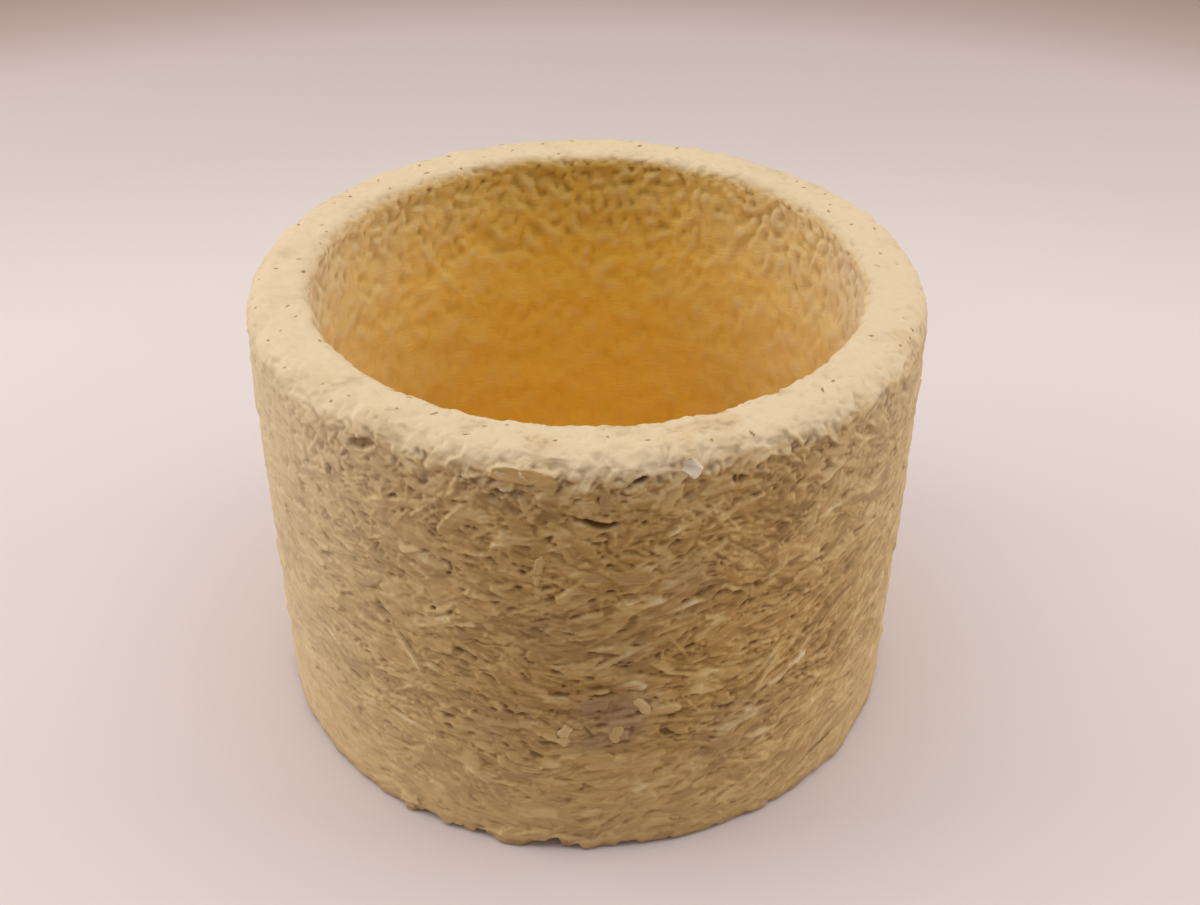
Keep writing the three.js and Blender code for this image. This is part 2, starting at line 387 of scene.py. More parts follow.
def mesh_of(name, corners, quads, caps=()):
    """A mesh of quads and a few many-sided caps, filled from arrays because that is quick."""
    mesh = bpy.data.meshes.new(name)
    loops = np.concatenate([quads.ravel(), *caps]).astype(np.int32)
    sizes = np.array([4] * len(quads) + [len(cap) for cap in caps])
    mesh.vertices.add(corners.size // 3)
    mesh.vertices.foreach_set("co", np.ascontiguousarray(corners, dtype=np.float32).ravel())
    mesh.loops.add(len(loops))
    mesh.loops.foreach_set("vertex_index", loops)
    mesh.polygons.add(len(sizes))
    mesh.polygons.foreach_set("loop_start", (np.cumsum(sizes) - sizes).astype(np.int32))
    mesh.update(calc_edges=True)
    return mesh


def turns_of(columns):
    return np.arange(columns) * 2 * math.pi / columns


def rings(points, columns):
    """A section's points, or its ways out, carried round: rows, columns, and x, y and z."""
    turns = turns_of(columns)
    across, up = np.array(points, dtype=float).T[:, :, None]
    return np.stack([across * np.cos(turns), across * np.sin(turns), up + 0 * turns], axis=2)


def sweep(name, points, columns):
    """A surface of revolution without poles, as a linked object."""
    swept = bpy.data.objects.new(name, mesh_of(name, rings(points, columns), grid_quads(len(points), columns)))
    bpy.context.collection.objects.link(swept)
    return swept


print("faces of a ring of 3 by 8 points", len(grid_quads(3, 8, ring=True)))

# %% [markdown]
# ## Stretches to lay chips on
# Three stretches of the section take chips: the outside from the foot over the rim, the top of the rim
# alone for its flecks, and the hollow down to its rounded corner. They can be coarse, as chips only need
# a place and a way out.

# %% Bare stretches of the section
BED_STEP, BED_COLUMNS, BED_FOOT = 3 * MM, 160, 0.3 * MM
RIM_OUTER_STEP, RIM_INNER_STEP = RIM_OUTER_ROUND / 4, RIM_INNER_ROUND / 4
RIM_OUTER_CENTRE = (OUTER_RADIUS - RIM_OUTER_ROUND, HEIGHT - RIM_OUTER_ROUND)
RIM_INNER_CENTRE = (MOUTH_RADIUS + RIM_INNER_ROUND, HEIGHT - RIM_INNER_ROUND)
CORNER_CENTRE = (FLOOR_RADIUS - FLOOR_CORNER_ROUND, FLOOR + FLOOR_CORNER_ROUND)
wall_points = straight((OUTER_RADIUS, BED_FOOT), (OUTER_RADIUS, RIM_OUTER_CENTRE[1]), BED_STEP)
wall_points += rounded(RIM_OUTER_CENTRE, RIM_OUTER_ROUND, 0, 90, RIM_OUTER_STEP)[1:]
wall_points += rounded(RIM_INNER_CENTRE, RIM_INNER_ROUND, 90, 180, RIM_INNER_STEP)
rim_points = rounded(RIM_OUTER_CENTRE, RIM_OUTER_ROUND, 40, 90, RIM_OUTER_STEP)
rim_points += rounded(RIM_INNER_CENTRE, RIM_INNER_ROUND, 90, 130, RIM_INNER_STEP)
hollow_points = straight((MOUTH_RADIUS, RIM_INNER_CENTRE[1]), (FLOOR_RADIUS, CORNER_CENTRE[1]), BED_STEP)
hollow_points += rounded(CORNER_CENTRE, FLOOR_CORNER_ROUND, 0, -80, BED_STEP)[1:]
print("wall section", len(wall_points), "points, hollow section", len(hollow_points), "points")

# %% [markdown]
# ## Chips
# A chip is a thin plate with a slightly crowned face and torn ends. A few dozen faces are enough, because
# there are thousands of them and each covers only a few millimetres. Several shapes, each at its own
# length and width, keep the bed from looking stamped. The shapes are two units long and wide and are
# sized where they are laid.

# %% Chip shapes
CHIP_STATIONS, SPLINTER_STATIONS = (-1.0, -0.45, 0.4, 1.0), (-1.0, 0.1, 1.0)
SHAPE_COUNT = 7
KEEL = (0.0, 0.0, -1.6)
MIDDLE_WIDTH, SWAY, UNEVEN, RAGGED_END = (0.82, 1.0), (-0.16, 0.16), (-0.25, 0.25), (-0.14, 0.14)


def vertex_array(mesh, field):
    values = np.empty(len(mesh.vertices) * 3)
    mesh.vertices.foreach_get(field, values)
    return values.reshape(-1, 3)


def put_attribute(mesh, name, kind, values):
    layer = mesh.attributes.new(name, kind, "POINT")
    field = "vector" if kind == "FLOAT_VECTOR" else "value"
    layer.data.foreach_set(field, np.ascontiguousarray(values).ravel())


def chip_shape(name, stations, sides, end_width, crown, rng):
    """One closed chip: a crowned face, rows of points across at each station, over a keel of one point."""
    face = []
    for station in stations:
        half = rng.uniform(*(end_width if abs(station) == 1.0 else MIDDLE_WIDTH))
        middle = rng.uniform(*SWAY)
        for side in sides:
            level = 1.0 + crown * (1 - abs(side)) + rng.uniform(*UNEVEN)
            face.append((station + rng.uniform(*RAGGED_END), middle + side * half, level))
    across, last = len(sides), (len(stations) - 1) * len(sides)
    quads = [(i * across + j, (i + 1) * across + j, (i + 1) * across + j + 1, i * across + j + 1)
             for i in range(len(stations) - 1) for j in range(across - 1)]
    near = [i * across for i in range(len(stations))]
    far = [i * across + across - 1 for i in range(len(stations))]
    rim = near + list(range(last + 1, last + across)) + far[-2::-1] + list(range(across - 2, 0, -1))
    keel = len(face)
    skirt = [(keel, rim[(i + 1) % len(rim)], rim[i]) for i in range(len(rim))]
    mesh = bpy.data.meshes.new(name)
    mesh.from_pydata(face + [KEEL], [], quads + skirt)
    put_attribute(mesh, "local", "FLOAT_VECTOR", vertex_array(mesh, "co"))
    return mesh


def shape_set(name, stations, sides, end_width, crown, seed):
    """A collection of chip shapes to lay, kept out of the scene."""
    rng = np.random.default_rng(seed)
    shapes = bpy.data.collections.new(name)
    for number in range(SHAPE_COUNT):
        mesh = chip_shape(f"{name}_{number}", stations, sides, end_width, crown, rng)
        shapes.objects.link(bpy.data.objects.new(mesh.name, mesh))
    return shapes


chips = shape_set("split_chips", CHIP_STATIONS, (-1, 0, 1), (0.3, 0.8), 0.2, seed=11)
splinters = shape_set("splinters", SPLINTER_STATIONS, (-1, 1), (0.15, 0.5), 0.0, seed=12)

# %% [markdown]
# ## Laying the bed
# Geometry Nodes scatter the chips: evenly spaced points on a bare stretch of the section, a chip on each,
# flat to the face and mostly level, with a slow drift in its slant as the mix was packed in. Near the rim
# the chips lie more at random and are shorter. Every size is a named input, so one tree lays chips,
# splinters, wisps and flecks.

# %% Inputs and slants of the bed
RANGES = ("Length", "Width", "Thickness", "Slant", "Roll", "Pitch", "Rise", "Tint")
LAY_INPUTS = {
    "Geometry": ["Surface"], "Collection": ["Shapes"], "Int": ["Seed"], "Material": ["Finish"],
    "Float": ["Spacing", "Density", "Smaller", "Flow", "Sag", "Loose", "Lowest"]
             + [f"{label} {end}" for label in RANGES for end in ("low", "high")],
}
FLOW_SIZE = 16 * MM
LOOSE_FROM, LOOSE_TO = 56 * MM, 74 * MM
SHORT_FROM, SHORT_TO, SHORT = 72 * MM, 79 * MM, 0.45


def new_tree(name, inputs, output):
    """A tree with named inputs and one output, what it is given, and a function that adds to it."""
    tree = bpy.data.node_groups.new(name, "GeometryNodeTree")
    for kind, labels in inputs.items():
        for label in labels:
            tree.interface.new_socket(name=label, in_out="INPUT", socket_type=f"NodeSocket{kind}")
    tree.interface.new_socket(name=output, in_out="OUTPUT", socket_type="NodeSocketGeometry")
    return tree, tree.nodes.new("NodeGroupInput").outputs, partial(add, tree)


def waves(put, where, size, detail, gains=(), distortion=0.0):
    """Noise about zero, multiplied by each gain."""
    value = put("TexNoise", {"Vector": where, "Scale": 1 / size, "Detail": detail, "Distortion": distortion})
    value = put("Math SUBTRACT", (value, 0.5))
    for gain in gains:
        value = put("Math MULTIPLY", (value, gain))
    return value


def chip_slant(put, given, height, normal, own):
    """How far a chip slants: its own draw, looser near the rim, a slow drift, and a sag to the sides."""
    drift = waves(put, put("InputPosition"), FLOW_SIZE, 1.0, [given["Flow"]])
    loose = put("MapRange", (height, LOOSE_FROM, LOOSE_TO, 1.0, given["Loose"]))
    slant = put("Math MULTIPLY_ADD", (own, loose, drift))
    facing = put("SeparateXYZ", (normal,)).outputs
    lean = put("Math MULTIPLY", (facing["X"], facing["Y"]))
    lean = put("Math MULTIPLY", (lean, given["Sag"]))
    return put("Math SUBTRACT", (slant, lean))


def carry_fibre(put, real):
    """Stores on each chip's points where they are along and across the chip, in metres, and its tint."""
    local, span, tint = (put("InputNamedAttribute", {"Name": label}, data_type=kind) for label, kind in
                         (("local", "FLOAT_VECTOR"), ("span", "FLOAT_VECTOR"), ("tint", "FLOAT")))
    spread = put("SeparateXYZ", (put("VectorMath MULTIPLY", (local, span)),)).outputs
    fibre = put("CombineXYZ", (spread["X"], spread["Y"], tint))
    return put("StoreNamedAttribute", {"Geometry": real, "Name": "fibre", "Value": fibre},
               data_type="FLOAT_VECTOR")


print("the laying tree has", sum(len(labels) for labels in LAY_INPUTS.values()), "inputs")

# %% [markdown]
# ## One tree for the bed
# The tree runs from points to chips: draw each chip's sizes, turn it flat to the face, size it, lift it,
# and turn the copies into one mesh that can be looked at from the skin. The length and width are drawn
# with a power, so small chips are commoner than large ones.

# %% The laying tree
def laying_tree():
    tree, given, put = new_tree("lay_chips", LAY_INPUTS, "Laid")
    points = put("DistributePointsOnFaces", {"Mesh": given["Surface"], "Distance Min": given["Spacing"],
                                             "Density Max": given["Density"], "Seed": given["Seed"]},
                 distribute_method="POISSON").outputs
    normal = points["Normal"]
    drawn = {}
    for number, label in enumerate(RANGES):
        chance = put("RandomValue", {"Seed": put("Math ADD", (given["Seed"], number + 1.0))})
        if label in ("Length", "Width"):
            chance = put("Math POWER", (chance, given["Smaller"]))
        span = given[f"{label} low"], given[f"{label} high"]
        drawn[label] = put("MapRange", (chance, 0.0, 1.0, *span), clamp=False)
    spot = put("SeparateXYZ", (put("InputPosition"),)).outputs
    slant = chip_slant(put, given, spot["Z"], normal, drawn["Slant"])
    level = put("VectorMath CROSS_PRODUCT", ((0.0, 0.0, 1.0), normal))
    flat = put("AxesToRotation", {"Primary Axis": normal, "Secondary Axis": level})
    tilt = put("EulerToRotation", (put("CombineXYZ", (drawn["Roll"], drawn["Pitch"], slant)),))
    turned = put("RotateRotation", {"Rotation": flat, "Rotate By": tilt}, rotation_space="LOCAL")
    shorter = put("MapRange", (spot["Z"], SHORT_FROM, SHORT_TO, 1.0, SHORT))
    length = put("Math MULTIPLY", (drawn["Length"], shorter))
    size = put("CombineXYZ", (length, drawn["Width"], drawn["Thickness"]))
    half = put("VectorMath SCALE", {0: size, "Scale": 0.5})
    shapes = put("CollectionInfo", (given["Shapes"], True, True))
    which = put("RandomValue", {"Min": 0, "Max": SHAPE_COUNT - 1, "Seed": given["Seed"]}, data_type="INT")
    laid = put("InstanceOnPoints", {"Points": points["Points"], "Instance": shapes, "Pick Instance": True,
                                    "Instance Index": which, "Rotation": turned, "Scale": half})
    lift = put("VectorMath SCALE", {0: normal, "Scale": drawn["Rise"]})
    laid = put("TranslateInstances", {"Instances": laid, "Translation": lift, "Local Space": False})
    for label, value, kind in (("tint", drawn["Tint"], "FLOAT"), ("span", half, "FLOAT_VECTOR")):
        laid = put("StoreNamedAttribute", {"Geometry": laid, "Name": label, "Value": value},
                   data_type=kind, domain="INSTANCE")
    real = carry_fibre(put, put("RealizeInstances", (laid,)))
    clear = put("Math MAXIMUM", (spot["Z"], given["Lowest"]))
    kept = put("CombineXYZ", (spot["X"], spot["Y"], clear))
    real = put("SetPosition", {"Geometry": real, "Position": kept})
    put("NodeGroupOutput", (put("SetMaterial", {"Geometry": real, "Material": given["Finish"]}),))
    return tree


LAY = laying_tree()
print("laying tree", len(LAY.nodes), "nodes")

# %% [markdown]
# ## Sizes of the bed
# Hemp splits into chips of 3 to 11 mm, and into splinters and loose wisps as long but much thinner. In the
# hollow the chips are shorter and sit deeper, and the flecks on the rim are specks. A pair of numbers is
# the lowest and highest of a draw. Slants and tilts are in radians.

# %% Sizes of chips, splinters, wisps and flecks
CHIP_BED = {
    "Shapes": chips, "Spacing": 1.25 * MM, "Density": 0.45 / MM**2, "Smaller": 1.5, "Flow": 2.4, "Sag": 0.65,
    "Loose": 2.4, "Lowest": 0.15 * MM, "Seed": 3, "Finish": HURD,
    "Length": (3.0 * MM, 11.0 * MM), "Width": (1.1 * MM, 3.6 * MM), "Thickness": (0.45 * MM, 0.7 * MM),
    "Slant": (-0.5, 0.5), "Roll": (-0.5, 0.5), "Pitch": (-0.1, 0.1),
    "Rise": (-0.42 * MM, 0.12 * MM), "Tint": (0.16, 0.82),
}
SPLINTER_BED = CHIP_BED | {
    "Shapes": splinters, "Spacing": 1.1 * MM, "Density": 0.42 / MM**2, "Seed": 31,
    "Width": (0.4 * MM, 0.9 * MM), "Thickness": (0.4 * MM, 0.6 * MM),
    "Slant": (-0.6, 0.6), "Rise": (-0.28 * MM, 0.24 * MM), "Tint": (0.3, 0.82),
}
WISP_BED = SPLINTER_BED | {
    "Spacing": 1.7 * MM, "Density": 0.16 / MM**2, "Seed": 131, "Slant": (-1.3, 1.3),
    "Length": (3.0 * MM, 9.0 * MM), "Width": (0.35 * MM, 0.55 * MM),
    "Rise": (-0.12 * MM, 0.22 * MM), "Tint": (0.5, 0.7),
}
HOLLOW_BED = CHIP_BED | {
    "Spacing": 1.5 * MM, "Density": 0.3 / MM**2, "Seed": 57, "Sag": 0.0, "Slant": (-0.7, 0.7),
    "Length": (2.5 * MM, 7.0 * MM), "Width": (1.4 * MM, 3.2 * MM), "Thickness": (0.5 * MM, 0.9 * MM),
    "Rise": (-0.6 * MM, 0.1 * MM), "Tint": (0.3, 0.85),
}
FLECK_BED = SPLINTER_BED | {
    "Spacing": 2.4 * MM, "Density": 0.026 / MM**2, "Seed": 83, "Slant": (-1.2, 1.2),
    "Length": (1.0 * MM, 3.2 * MM), "Width": (0.45 * MM, 0.7 * MM), "Rise": (0.0, 0.0), "Roll": (0.0, 0.0),
}
print("a chip is", [round(v / MM, 1) for v in CHIP_BED["Length"]], "mm long")

# %% [markdown]
# ## Running the tree
# A modifier shows what a tree makes but doesn't keep it. So the result is copied out as a plain mesh and the
# modifier goes, and the next step can read the points.

# %% Bed of chips, splinters and wisps
def freeze(obj):
    """Leaves what an object's modifiers make as its own mesh."""
    graph = bpy.context.evaluated_depsgraph_get()
    mesh = bpy.data.meshes.new_from_object(obj.evaluated_get(graph))
    before = obj.data
    obj.modifiers.clear()
    obj.data = mesh
    bpy.data.meshes.remove(before)
    mesh.name = obj.name


def run_tree(obj, tree, values):
    """Runs a node tree on an object with its inputs set, a pair as low and high, and keeps what it makes."""
    spelled = dict(values)
    for label, value in values.items():
        if isinstance(value, tuple):
            spelled[f"{label} low"], spelled[f"{label} high"] = value
    modifier = obj.modifiers.new(tree.name, "NODES")
    modifier.node_group = tree
    for item in tree.interface.items_tree:
        if item.in_out == "INPUT" and item.name in spelled:
            modifier[item.identifier] = spelled[item.name]
    freeze(obj)
    obj.data.calc_loop_triangles()
    print(obj.name, len(obj.data.loop_triangles), "triangles")
    return obj


bed, fleck_bed = (bpy.data.collections.new(name) for name in ("bed", "fleck_bed"))
for name, points, sizes, heap in (("wall_chips", wall_points, CHIP_BED, bed),
                                  ("wall_splinters", wall_points, SPLINTER_BED, bed),
                                  ("wall_wisps", wall_points, WISP_BED, bed),
                                  ("hollow_chips", hollow_points, HOLLOW_BED, bed),
                                  ("flecks", rim_points, FLECK_BED, fleck_bed)):
    heap.objects.link(run_tree(sweep(name, points, BED_COLUMNS), LAY, sizes))

# %% [markdown]
# ## Grooves of split hemp
# The solid model already has the larger chips, each in its own pocket. Split hemp has grooves along its
# length and a slightly uneven outline, so noise that is stretched along the chip moves its points. Most of
# these chips are almost buried by the felt, and a few lie bare and have a tint of their own.

# %% Grooves and looks of the named chips
GROOVE_WIDTH, GROOVE_LENGTH, GROOVE_DEPTH = 0.5 * MM, 5.0 * MM, 0.16 * MM
WOBBLE_SIZE, WOBBLE, WOBBLE_SEED = 1.6 * MM, 0.45 * MM, 5
CHIP_LOOKS = {  # tint, stain, cream, and how far the felt buries it
    "pale_rim_chip": (0.7, 0.0, 0.0, -0.6), "facet_rim_chip": (0.6, 0.0, 0.0, 1.0),
    "upright_rim_chip": (0.5, 0.3, 0.0, 0.5), "upright_front_chip": (0.65, 0.0, 0.1, 0.4),
    "broad_front_chip": (0.55, 0.2, 0.0, 0.5), "broad_cluster_chip": (0.5, 0.5, 0.0, 0.3),
    "hooked_cluster_chip": (0.72, 0.0, 0.25, -0.2), "small_cluster_chip": (0.78, 0.0, 0.3, -0.1),
    "upright_cluster_chip": (0.6, 0.0, 0.15, -0.3),
}
HALF_BURIED, BURIED, PLAIN_TINTS = {"slanted_left_chip": 0.7, "long_low_chip": 0.7}, 1.1, (0.45, 0.7)
# Painted shade: a chip's sides are painted darker the further they lie below its face.
SIDE_DEPTH, SIDE_SHOWS, SIDE_DARKEST = 1.1 * MM, 0.25, 0.9
FACE_PERCENT, NOISE_SPREAD = 97, 50


def groove_chip(mesh, node_name, rng):
    """Cuts lengthwise grooves into a chip and stores its fibre direction, its looks, and the painted shade of
    its sides.
    """
    places, normals = vertex_array(mesh, "co"), vertex_array(mesh, "normal")
    middle = places.mean(axis=0)
    out = middle * (1, 1, 0) / np.hypot(middle[0], middle[1])
    along = np.linalg.svd(places - middle, full_matrices=False)[2][0]
    across = np.cross(out, along)
    local = np.stack([(places - middle) @ way for way in (along, across, out)], axis=1)
    shift = rng.uniform(0, NOISE_SPREAD, 3)
    stretch = np.array([1 / GROOVE_LENGTH, 1 / GROOVE_WIDTH, 0.5 / GROOVE_WIDTH])
    groove = np.array([noise.noise(Vector(p)) for p in local * stretch + shift])
    wobble = np.array([noise.noise_vector(Vector(p)) for p in local / WOBBLE_SIZE + shift]) * WOBBLE
    places = places + normals * (GROOVE_DEPTH * groove)[:, None]
    places = places + wobble[:, :1] * along + wobble[:, 1:2] * across
    mesh.vertices.foreach_set("co", places.ravel())
    put_attribute(mesh, "fibre", "FLOAT_VECTOR", local)
    plain = (rng.uniform(*PLAIN_TINTS), 0.0, 0.0, HALF_BURIED.get(node_name, BURIED))
    for layer, value in zip(("tint", "stain", "cream", "bury"), CHIP_LOOKS.get(node_name, plain)):
        put_attribute(mesh, layer, "FLOAT", np.full(len(places), value))
    below = np.percentile(local[:, 2], FACE_PERCENT) - local[:, 2]
    put_attribute(mesh, "depth", "FLOAT", np.clip(below / SIDE_DEPTH - SIDE_SHOWS, 0, SIDE_DARKEST))


print(len(CHIP_LOOKS), "chips with looks of their own")

# %% [markdown]
# ## Worn corners
# A chip has been tumbled and pressed, so its corners are soft. Rebuilding a copy of the solid from small
# voxels rounds them and gives enough points to groove. The skin will settle around these copies.

# %% Dress the named chips
VOXEL, SAME_POINT = 0.2 * MM, 1e-6


def merged_copy(node_name, name):
    """A copy of a solid whose faces share their corners."""
    mesh = frame["nodes"][node_name].data.copy()
    mesh.name = name
    shape = bmesh.new()
    shape.from_mesh(mesh)
    bmesh.ops.remove_doubles(shape, verts=shape.verts, dist=SAME_POINT)
    shape.to_mesh(mesh)
    shape.free()
    mesh.materials.clear()
    copy = bpy.data.objects.new(name, mesh)
    bpy.context.collection.objects.link(copy)
    return copy


noise.seed_set(WOBBLE_SEED)  # without a seed, vector noise starts from the clock
chip_rng = np.random.default_rng(77)
larger_chips = bpy.data.collections.new("larger_chips")
named_chips = []
for node_name in sorted(n for n in frame["nodes"] if n != "pot_body"):
    chip = merged_copy(node_name, f"{node_name}_grained")
    voxels = chip.modifiers.new("voxels", "REMESH")
    voxels.mode = "VOXEL"
    voxels.voxel_size = VOXEL
    soften = chip.modifiers.new("soften", "SMOOTH")
    soften.iterations = 1
    freeze(chip)
    groove_chip(chip.data, node_name, chip_rng)
    chip.data.shade_smooth()
    chip.data.materials.append(PALE_HURD if node_name == "pale_rim_chip" else HURD)
    chip["node"] = node_name
    named_chips.append(chip)
for chip in named_chips:
    larger_chips.objects.link(chip)
print(len(named_chips), "named chips,", sum(len(c.data.polygons) for c in named_chips), "faces")

# %% [markdown]
# ## Rows of the skin
# A wet felt settles on the bed: it follows each chip, rounds its edges and fills the gaps between. So the
# skin starts as a fine turned mesh of the whole cup. Three numbers at each end of a stretch say how closely
# it follows, how soft it is and how much it swells. On the wall it follows closely. Over the rim and down
# in the hollow it is thick and soft, and there the rows can be further apart.

# %% Rows of the skin
FINE, MIDDLE, PLAIN, COARSE = 0.23 * MM, 0.38 * MM, 1.15 * MM, 3.0 * MM
FLAT_FROM, BAND_BACK = 3 * MM, 3 * MM
BACK_RADIUS = OUTER_RADIUS - BAND_BACK
WALL_TOP, SEAM_LEVEL = RIM_OUTER_CENTRE[1], RIM_INNER_CENTRE[1]
FOOT_FELT_TOP, CHIPS_TOP = 30 * MM, 70 * MM


def widening(start, end, first, last):
    """Points from start to end whose spacing grows from first to last."""
    count = round(2 * math.dist(start, end) / (first + last))
    reached = np.concatenate([[0], np.cumsum(np.linspace(first, last, count))])
    return [tuple(np.array(start) + (np.array(end) - start) * share) for share in reached / reached[-1]]


def upright(low, high):
    return straight((OUTER_RADIUS, low), (OUTER_RADIUS, high), FINE)


WALL_ROWS = [
    (straight((BACK_RADIUS, 0), (OUTER_RADIUS - FOOT_ROUND, 0), FINE), (0, 1, 0), (0, 1, 0)),
    (rounded((OUTER_RADIUS - FOOT_ROUND, FOOT_ROUND), FOOT_ROUND, -90, 0, FINE), (0.3, 0, 0), (0.55, 0.6, 0.4)),
    (upright(FOOT_ROUND, FOOT_FELT_TOP), (0.55, 0.6, 0.4), (0.95, 0.1, 0.4)),
    (upright(FOOT_FELT_TOP, CHIPS_TOP), (0.95, 0.1, 0.4), (1, 0, 0.4)),
    (upright(CHIPS_TOP, WALL_TOP), (1, 0, 0.4), (0.9, 0.2, 0.5)),
    (rounded(RIM_OUTER_CENTRE, RIM_OUTER_ROUND, 0, 50, FINE), (0.9, 0.2, 0.5), (0.6, 0.5, 0.9)),
    (rounded(RIM_OUTER_CENTRE, RIM_OUTER_ROUND, 50, 90, FINE), (0.6, 0.5, 0.9), (0.4, 0.6, 1)),
    (straight((RIM_OUTER_CENTRE[0], HEIGHT), (RIM_INNER_CENTRE[0], HEIGHT), FINE),
     (0.4, 0.6, 1), (0.35, 0.6, 1)),
    (rounded(RIM_INNER_CENTRE, RIM_INNER_ROUND, 90, 180, FINE), (0.35, 0.6, 1), (0.8, 0.4, 1)),
]
inside = widening((MOUTH_RADIUS, SEAM_LEVEL), (FLOOR_RADIUS, CORNER_CENTRE[1]), MIDDLE, PLAIN)
halfway = len(inside) // 2
HOLLOW_ROWS = [
    (inside[:halfway + 1], (0.9, 0.0, 1), (0.95, 0.4, 1)),
    (inside[halfway:], (0.95, 0.4, 1), (0.5, 0.9, 1)),
    (rounded(CORNER_CENTRE, FLOOR_CORNER_ROUND, 0, -90, PLAIN), (0.35, 1, 1), (0, 1, 1)),
    (straight((CORNER_CENTRE[0], FLOOR), (FLAT_FROM, FLOOR), COARSE), (0, 1, 1), (0, 1, 0.6)),
]


def laid_rows(rows):
    """The points of a list of stretches end to end, the numbers for each, and the row where each ends."""
    section, feel = [], []
    for points, first, last in rows:
        skip = 1 if section else 0
        share = np.linspace(0, 1, len(points))[skip:, None]
        section += points[skip:]
        feel.append((1 - share) * np.array(first) + share * np.array(last))
    return section, np.concatenate(feel), np.cumsum([len(points) - 1 for points, _, _ in rows])


print("wall", len(laid_rows(WALL_ROWS)[0]), "rows, hollow", len(laid_rows(HOLLOW_ROWS)[0]), "rows")

# %% [markdown]
# ## Looking for the bed
# Each point of the skin looks inwards from a little way outside. What it meets first is the chip that it
# will lie on: how high that chip is, what its tint is, and whether it is one of the larger chips or a
# fleck. Fibres stand up on a chip as fine ridges, and where nothing is met the skin sinks to its deepest.

# %% Rays and levels
RAY_PAST = 1.5 * MM
CREEP_SIZE, CREEP_LEAST, CREEP_SPAN = 3 * MM, 0.02 * MM, (0.35, 0.65)
FIBRE_SPACING, FIBRE_LENGTH, TINT_APART, RIDGE_SPAN = 0.6 * MM, 4.5 * MM, 60.0, (0.3, 0.7)
PATCH_SIZE = 8 * MM


def cast_rays(put, given, place, way):
    """What each point meets of the bed, the larger chips and the flecks, on its way in."""
    above = put("VectorMath SCALE", {0: way, "Scale": given["Reach"]})
    above = put("VectorMath ADD", (place, above))
    inward = put("VectorMath SCALE", {0: way, "Scale": -1.0})
    span = put("Math ADD", (given["Reach"], RAY_PAST))
    rays = {}
    for label, carried in (("Bed", "fibre"), ("Larger chips", "bury"), ("Flecks", "fibre")):
        target = put("RealizeInstances", (put("CollectionInfo", {"Collection": given[label]}),))
        carried = put("InputNamedAttribute", {"Name": carried}, data_type="FLOAT_VECTOR")
        rays[label] = put("Raycast", {"Target Geometry": target, "Attribute": carried, "Source Position": above,
                                      "Ray Direction": inward, "Ray Length": span},
                          data_type="FLOAT_VECTOR").outputs
    return rays


def store_levels(put, given, place, follow, rays):
    """Stores on the skin what its rays met."""
    bed_ray, chip_ray = rays["Bed"], rays["Larger chips"]
    lowest = put("Math MULTIPLY", (given["Deepest"], -1.0))
    creep = put("TexNoise", {"Vector": place, "Scale": 1 / CREEP_SIZE, "Detail": 1.0})
    creep = put("MapRange", (creep, *CREEP_SPAN, CREEP_LEAST, given["Bare"]))
    finer = (1 / FIBRE_LENGTH, 1 / FIBRE_SPACING, TINT_APART)
    ridge = put("VectorMath MULTIPLY", (bed_ray["Attribute"], finer))
    ridge = put("TexNoise", {"Vector": ridge, "Scale": 1.0, "Detail": 1.0})
    ridge = put("MapRange", (ridge, *RIDGE_SPAN, 0.0, given["Fibre depth"]))
    levels = []
    for ray, cover in ((bed_ray, ridge), (chip_ray, creep)):
        found = put("Math SUBTRACT", (given["Reach"], ray["Hit Distance"]))
        found = put("Math SUBTRACT", (found, cover))
        found = put("Switch", {"Switch": ray["Is Hit"], "False": lowest, "True": found}, input_type="FLOAT")
        levels.append(put("Math MAXIMUM", (lowest, found)))
    close = put("Switch", {"Switch": chip_ray["Is Hit"], "False": follow, "True": 1.0}, input_type="FLOAT")
    tint = put("SeparateXYZ", (bed_ray["Attribute"],)).outputs["Z"]
    buried = put("SeparateXYZ", (chip_ray["Attribute"],)).outputs["X"]
    patchy = waves(put, place, PATCH_SIZE, 3.0)
    cloth = given["Skin"]
    for label, value in (("laid", levels[0]), ("height", levels[1]), ("tint", tint), ("follow", close),
                         ("near", buried), ("beside", chip_ray["Is Hit"]), ("fleck", rays["Flecks"]["Is Hit"]),
                         ("patchy", patchy)):
        cloth = put("StoreNamedAttribute", {"Geometry": cloth, "Name": label, "Value": value})
    return cloth


print("rays reach", RAY_PAST / MM, "mm into the wall")

# %% [markdown]
# ## Settling as felt
# Felt rounds what it lies on, so the levels are blurred: a little where the skin is thin, and more where it
# is thick. It banks up against the larger chips, sinks in long streaks, and swells in slow lumps. The same
# blur, done widely, tells the crevices from the chips that stand proud, so the crevices can be painted
# darker as painted shade and the proud chips paler as painted highlight.

# %% Felt
STREAK_LENGTH, STREAK_WIDTH = 5 * MM, 1.2 * MM
SWELL_SIZE = 7 * MM
BESIDE_BLUR, FOLLOW_BLUR, TINT_BLUR, PATCHY_FELT = 10, 3, 1, 1.6
# Where painted crevice shade starts below the wide level, and where painted highlight on proud chips starts and
# is full.
CREVICE_FROM, PROUD_FROM, PROUD_TO = 0.08 * MM, 0.06 * MM, 0.3 * MM


